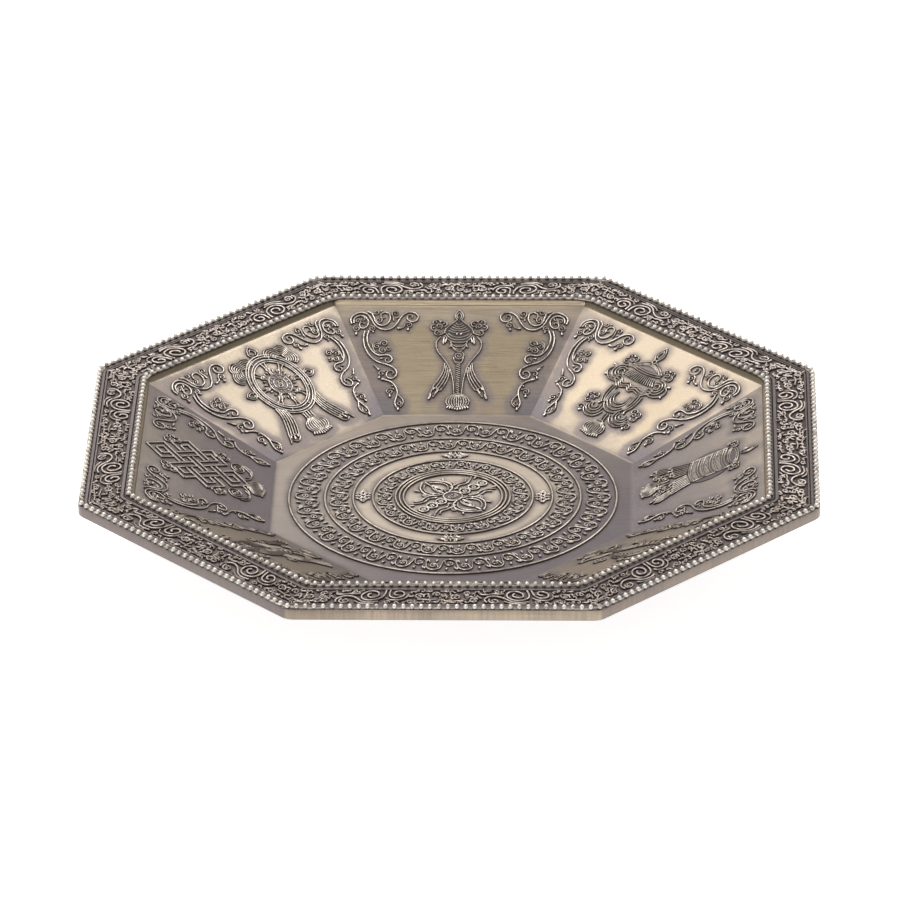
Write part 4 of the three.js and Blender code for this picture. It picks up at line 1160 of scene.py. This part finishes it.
class Finish:
    """A node material made by code."""

    def __init__(self, name):
        self.material = bpy.data.materials.new(name)
        self.material.use_nodes = True
        self.tree = self.material.node_tree
        self.shader = self.tree.nodes["Principled BSDF"]
        self.place = self.node("ShaderNodeTexCoord", output="Object")

    def feed(self, slot, value):
        if isinstance(value, Socket):
            self.tree.links.new(value.output, slot)
        else:
            slot.default_value = value

    def node(self, kind, settings=None, inputs=None, output=0):
        """Any node: its settings first, then the values or links of its sockets."""
        node = self.tree.nodes.new(kind)
        for key, value in (settings or {}).items():
            setattr(node, key, value)
        for key, value in (inputs or {}).items():
            self.feed(node.inputs[key], value)
        return Socket(self, node.outputs[output])

    def along(self, axis):
        """A point's place along an axis, in millimetres."""
        return self.node("ShaderNodeSeparateXYZ", None, {"Vector": self.place}, axis) * (1 / MM)

    def noise(self, scale, detail=3.0, roughness=0.55, stretch=None):
        place = self.place
        if stretch:
            place = self.node("ShaderNodeMapping", None, {"Vector": place, "Scale": stretch})
        values = {"Vector": place, "Scale": scale, "Detail": detail, "Roughness": roughness}
        return self.node("ShaderNodeTexNoise", None, values)

    def between(self, value, low, high):
        """0 at low, 1 at high, smooth in between."""
        return self.node("ShaderNodeMapRange", {"interpolation_type": "SMOOTHSTEP"},
                         {"Value": value, "From Min": low, "From Max": high})

    def mix(self, factor, a, b):
        return self.node("ShaderNodeMix", {"data_type": "RGBA"}, {0: factor, 6: a, 7: b}, 2)

    def openness_for_painted_shade(self, reach, low, high):
        """0 in a tight place, 1 where nothing is near, for painting shade into tight places; reach is in
        millimetres.
        """
        seen = self.node("ShaderNodeAmbientOcclusion", {"samples": 6}, {"Distance": reach * MM}, "AO")
        return self.between(seen, low, high)

    def noted(self, name):
        """A value that was painted on the mesh."""
        return self.node("ShaderNodeAttribute", {"attribute_name": name}, output="Fac")

    def set(self, **values):
        for key, value in values.items():
            self.feed(self.shader.inputs[key.replace("_", " ")], value)


def colour(red, green, blue):
    return (red, green, blue, 1.0)


CREAM = colour(0.53, 0.442, 0.34)
OLIVE = colour(0.40, 0.315, 0.205)
GREY = colour(0.205, 0.17, 0.17)
# Painted shade on the foot and sides of the relief
FOOT_SHADE = colour(0.13, 0.108, 0.105)
SHADOW = colour(0.045, 0.034, 0.032)
BLUE_GREY = colour(0.15, 0.138, 0.155)
DULL_TARNISH_AND_SHADE = colour(0.16, 0.135, 0.14)
BROWN_TARNISH_AND_SHADE = colour(0.16, 0.122, 0.088)
FLOOR_CREAM = colour(0.64, 0.54, 0.44)
SKIRT_DULL = colour(0.32, 0.255, 0.2)
SKIRT_BRIGHT = colour(0.53, 0.43, 0.32)
# Tops of the frieze, beads, rings and relief: rubbed metal with a painted highlight; the beads' near-white
# top is painted highlight only, and the last also lightens the brushing streaks
PALE_PINK_RUBBED_AND_HIGHLIGHT = colour(0.84, 0.73, 0.66)
BEAD_CREAM_HIGHLIGHT = colour(0.98, 0.91, 0.82)
RING_TOP_RUBBED_AND_HIGHLIGHT = colour(0.6, 0.52, 0.44)
RUBBED_BRIGHT_AND_HIGHLIGHT = colour(0.88, 0.79, 0.71)
LIP_GOLD = colour(0.74, 0.59, 0.41)
LIP_BROWN_SHADE = colour(0.21, 0.165, 0.095)
CHANNEL = colour(0.2, 0.165, 0.155)
METALLIC = 0.86


def octagon_inset(finish):
    """How far in from the outer face a point is, in millimetres."""
    x, y = abs(finish.along("X")), abs(finish.along("Y"))
    return APOTHEM - x.maximum(y).maximum((x + y) * (1 / math.sqrt(2)))


def pan_finish():
    """Antique brass: pale rubbed fields, grey patina by relief and creases, a dark ground in the rim."""
    finish = Finish("pan_brass")
    inset = octagon_inset(finish)
    level = finish.along("Z")
    cloudy = finish.noise(17.0, 4.0, 0.6)
    blotch = finish.noise(60.0, 4.0, 0.65)
    fine = finish.noise(420.0, 2.0, 0.6)
    grain = finish.between(finish.noise(1.0, 2.0, 0.7, (60.0, 3600.0, 3600.0)), 0.3, 0.7)
    tarnish_and_side_shade = finish.noted("tarnish_and_side_shade")

    # Floor and walls: cream to olive metal under the patina
    floor = finish.between(inset, 60.0, 60.8)
    wall = finish.between(inset, 17.6, 18.2) * (1 - floor)
    crease = (1 - finish.between(finish.noted("crease"), 0.0, 11.0)) * wall
    low = finish.between(inset, 45.0, 61.0) * wall
    head = (1 - finish.between(inset, 17.8, 23.0)) * wall
    stain = finish.noted("halo") * 0.95 + crease * 0.5 + low * 0.5 + crease * low * 0.8 + head * 0.15
    stain = stain + (cloudy - 0.5) * 1.7 + (blotch - 0.5) * 0.9
    patina = finish.between(stain, 0.14, 0.95)
    base = finish.mix(finish.between(finish.noted("olive") + (cloudy - 0.5) * 0.9, 0.1, 0.9), CREAM, OLIVE)
    base = finish.mix(floor * 0.6, base, FLOOR_CREAM)
    base = finish.mix(patina * 0.85, base, GREY)
    base = finish.mix(finish.between(crease * low, 0.15, 0.8) * 0.7, base, BLUE_GREY)
    olive_head = (1 - finish.between(inset, 19.0, 28.0)) * wall * finish.noted("olive")
    base = finish.mix(olive_head * 0.8, base, CREAM)
    # Painted shade that differs by side, with tarnish, darkens walls and floor towards a dull grey
    base = finish.mix(finish.between(tarnish_and_side_shade * (0.8 + blotch * 0.4), 0.0, 1.0), base, DULL_TARNISH_AND_SHADE)

    # Lip, browner with tarnish and painted shade by side; rim and the dark of its grooves, which is fainter
    # at the front (-Y) as painted light
    lip = finish.between(inset, RIM_WIDTH - 0.1, RIM_WIDTH) * (1 - finish.between(inset, 17.45, 17.6))
    base = finish.mix(lip, base, finish.mix(tarnish_and_side_shade, LIP_GOLD, LIP_BROWN_SHADE))
    upside = finish.between(level, RIM_TOP - 2.15, RIM_TOP - 2.05)
    rim = (1 - finish.between(inset, RIM_WIDTH - 0.2, RIM_WIDTH - 0.1)) * upside
    base = finish.mix(rim, base, finish.mix(fine * 0.4, CHANNEL, GREY))
    front = 1 - finish.between(finish.along("Y"), -100.0, -50.0)
    for middle, half, depth in RIM_SHADES:
        groove = 1 - finish.between(abs(inset - middle), half - 0.15, half + 0.1)
        base = finish.mix(groove * depth * (1 - front * 0.5) * upside, base, SHADOW)

    # Skirt, darker with tarnish and painted shade by side; then the brushing, and painted shade in every
    # tight place
    skirt = (1 - finish.between(inset, 1.4, 1.6)) * (1 - finish.between(level, RIM_TOP - 0.3, RIM_TOP - 0.15))
    upright = finish.noise(1.0, 2.0, 0.7, (900.0, 900.0, 60.0)) * 0.35 + cloudy * 0.65
    side_colour = finish.mix(finish.between(upright, 0.35, 0.65), SKIRT_DULL, SKIRT_BRIGHT)
    base = finish.mix(skirt, base, finish.mix(tarnish_and_side_shade, side_colour, DULL_TARNISH_AND_SHADE))
    base = finish.mix(grain * 0.07, base, RUBBED_BRIGHT_AND_HIGHLIGHT)
    base = finish.mix((1 - grain) * 0.08, base, SHADOW)
    # Painted shade: darker wherever other geometry is near
    base = finish.mix(finish.openness_for_painted_shade(1.2, 0.55, 0.98), SHADOW, base)
    bump = finish.node("ShaderNodeBump", None,
                       {"Strength": 0.18, "Distance": 0.0002, "Height": grain + fine * 0.5})
    finish.set(Base_Color=base, Metallic=METALLIC, Roughness=0.34 + grain * 0.1 + patina * 0.1, Normal=bump)
    return finish.material


def ridge_finish(name, low, high, roughness, rubbed_and_highlight_top, metallic=METALLIC):
    """Brass relief: rubbed tops with a painted highlight where it faces up, painted shade on sides and foot,
    browner with tarnish and per-side shade.
    """
    finish = Finish(name)
    wear = finish.noise(60.0, 3.0, 0.6)
    fine = finish.noise(500.0, 2.0, 0.6)
    tarnish_and_side_shade = finish.noted("tarnish_and_side_shade")
    rubbed_and_highlight_share = finish.between(finish.noted("rise") + (wear - 0.5) * 0.3, low, high)
    top = finish.mix(finish.between(fine, 0.2, 0.55), finish.mix(wear, GREY, OLIVE), rubbed_and_highlight_top)
    top = finish.mix(tarnish_and_side_shade, top, BROWN_TARNISH_AND_SHADE)
    # Painted shade at the ridge's foot, darker in tight places and with tarnish and per-side shade
    foot = finish.mix(finish.openness_for_painted_shade(0.8, 0.35, 0.9), SHADOW, FOOT_SHADE)
    foot = finish.mix(tarnish_and_side_shade * 0.7, foot, SHADOW)
    finish.set(Base_Color=finish.mix(rubbed_and_highlight_share, foot, top), Metallic=metallic, Roughness=roughness + fine * 0.12)
    return finish.material


def studio():
    """A pale floor that fills the view, and broad soft lamps."""
    bpy.ops.object.select_all(action="DESELECT")
    bpy.ops.mesh.primitive_plane_add(size=12.0, location=(0, 0, -0.0002))
    ground = bpy.context.object
    ground.name = "studio_floor"
    white = Finish("studio_white")
    seen = white.node("ShaderNodeLightPath", output="Is Camera Ray")
    mirrored_in_metal = white.node("ShaderNodeLightPath", output="Is Glossy Ray")
    white.set(Base_Color=(0.93, 0.93, 0.93, 1.0), Roughness=0.9, Emission_Strength=1.0,
              Emission_Color=seen * 0.86 + mirrored_in_metal * 0.5)
    ground.data.materials.append(white.material)
    world = bpy.data.worlds.new("studio_world")
    bpy.context.scene.world = world
    world.use_nodes = True
    world.node_tree.nodes["Background"].inputs["Color"].default_value = (1, 1, 1, 1)
    world.node_tree.nodes["Background"].inputs["Strength"].default_value = 0.3
    for name, place, size, power in LAMPS:
        lamp = bpy.data.lights.new(name, "AREA")
        lamp.size = size
        lamp.energy = power
        holder = linked(name, lamp)
        holder.location = place
        holder.rotation_euler = (-Vector(place)).to_track_quat("-Z", "Y").to_euler()


def add_camera():
    c, s = math.cos(ELEVATION), math.sin(ELEVATION)
    back = Vector((math.sin(AZIMUTH) * c, -math.cos(AZIMUTH) * c, s))
    right = Vector((math.cos(AZIMUTH), math.sin(AZIMUTH), 0))
    up = back.cross(right)
    right, up = (math.cos(ROLL) * right + math.sin(ROLL) * up, math.cos(ROLL) * up - math.sin(ROLL) * right)
    lens = bpy.data.cameras.new("camera")
    lens.lens = LENS
    lens.sensor_width = SENSOR
    lens.shift_x = -OFFSET_X / PICTURE
    lens.shift_y = OFFSET_Y / PICTURE
    lens.clip_end = 20.0
    camera = linked("camera", lens)
    turn = Matrix((right, up, back)).transposed().to_4x4()
    camera.matrix_world = Matrix.Translation(Vector((0, 0, RIM_TOP * MM)) + back * DISTANCE) @ turn
    bpy.context.scene.camera = camera


def dress_walls(relief):
    sprays = {"left": ridged_mesh("spray_master", corner_spray()),
              "right": ridged_mesh("spray_master_right", mirrored(corner_spray()))}
    for side, (side_name, (emblem_name, draw)) in enumerate(zip(SIDE_NAMES, EMBLEMS)):
        pieces = [(ridged_mesh(f"{emblem_name}_relief", *draw()), f"emblem_{emblem_name}")]
        for hand, master in sprays.items():
            pieces.append((copied(master, f"spray_relief_{side_name}_{hand}"), f"spray_{side_name}_{hand}"))
        for piece, node in pieces:
            finish_piece(piece, [node], relief, on_wall(side), tarnish_and_side_shade=RELIEF_SHADE_AND_TARNISH[side])
    for master in sprays.values():
        bpy.data.objects.remove(master)


def dress_rim(frieze, bead):
    field_middle = APOTHEM - (FIELD_OUTER + FIELD_INNER) / 2
    period = frieze_period()
    pitch = field_middle * math.tan(HALF_TURN)
    ridges = [ridge for step in (-0.5, 0.5) for ridge in shifted(period, step * pitch, 0)]
    master = ridged_mesh("frieze_master", mitred(ridges, field_middle), rise=0.62)
    for side, side_name in enumerate(SIDE_NAMES):
        piece = copied(master, f"frieze_relief_{side_name}")
        place = facing(side) @ Matrix.Translation((0, APOTHEM - FIELD_INNER, RIM_TOP - FIELD_DEPTH))
        finish_piece(piece, [f"rim_frieze_{side_name}"], frieze, place, note_tops=False,
                     tarnish_and_side_shade=FRIEZE_SIDE_SHADE[side])
    bpy.data.objects.remove(master)
    for name, *row in BEAD_ROWS:
        beads = bead_row(f"{name}_bead_row", *row)
        finish_piece(beads, [f"{name}_beading"], bead, note_tops=False)


def dress_floor(relief, ring):
    on_floor = Matrix.Translation((0, 0, FLOOR_LEVEL))
    for n, radius in enumerate(RING_RADII, 1):
        finish_piece(ring_piece(f"floor_ring_line_{n}", [radius]), [f"floor_ring_{n}"], ring,
                     on_floor)
    centre = ring_piece("centre_ring_lines", CENTRE_RING_RADII, 0.8, 0.7)
    finish_piece(centre, ["centre_ring"], ring, on_floor)
    for name, radius, cells, band in VINES:
        pitch = 2 * math.pi * radius / cells
        strip = ridged_mesh(f"{name}_vine_relief", vine(cells, pitch, band))
        round_floor(strip, radius, pitch * cells)
        finish_piece(strip, [f"{name}_vine_band"], relief, on_floor, tarnish_and_side_shade=0.25)
    leaf_radius = (RING_RADII[2] + RING_RADII[3]) / 2
    for k, side_name in enumerate(SIDE_NAMES[::2]):
        to_side = Matrix.Rotation(k * math.pi / 2, 4, "Z") @ Matrix.Translation((leaf_radius, 0, 0))
        place = on_floor @ to_side @ Matrix.Rotation(math.pi / 2, 4, "Z")
        piece = ridged_mesh(f"floor_leaf_relief_{side_name}", floor_leaf())
        finish_piece(piece, [f"floor_leaf_{side_name}"], relief, place)
    piece = ridged_mesh("crossed_bolts_relief", crossed_bolts(), [oval(0, 0, 3.2, 3.2)])
    finish_piece(piece, ["centre_crossed_bolts"], relief, on_floor)


add_camera()
studio()
# Each relief finish paints a highlight on up-facing tops and shade at the feet
relief_brass = ridge_finish("relief_brass", 0.3, 0.9, 0.32, RUBBED_BRIGHT_AND_HIGHLIGHT)
frieze_brass = ridge_finish("frieze_brass", 0.3, 0.85, 0.36, PALE_PINK_RUBBED_AND_HIGHLIGHT)
bead_brass = ridge_finish("bead_brass", 0.02, 0.4, 0.3, BEAD_CREAM_HIGHLIGHT, 0.45)
ring_brass = ridge_finish("ring_brass", 0.45, 1.0, 0.32, RING_TOP_RUBBED_AND_HIGHLIGHT)
dress_walls(relief_brass)
dress_rim(frieze_brass, bead_brass)
dress_floor(relief_brass, ring_brass)
pan = dish_pan()
finish_piece(pan, ["dish_pan"], pan_finish(), smooth=35, note_tops=False)
shade_pan(pan)
bpy.context.scene.view_settings.view_transform = "Standard"
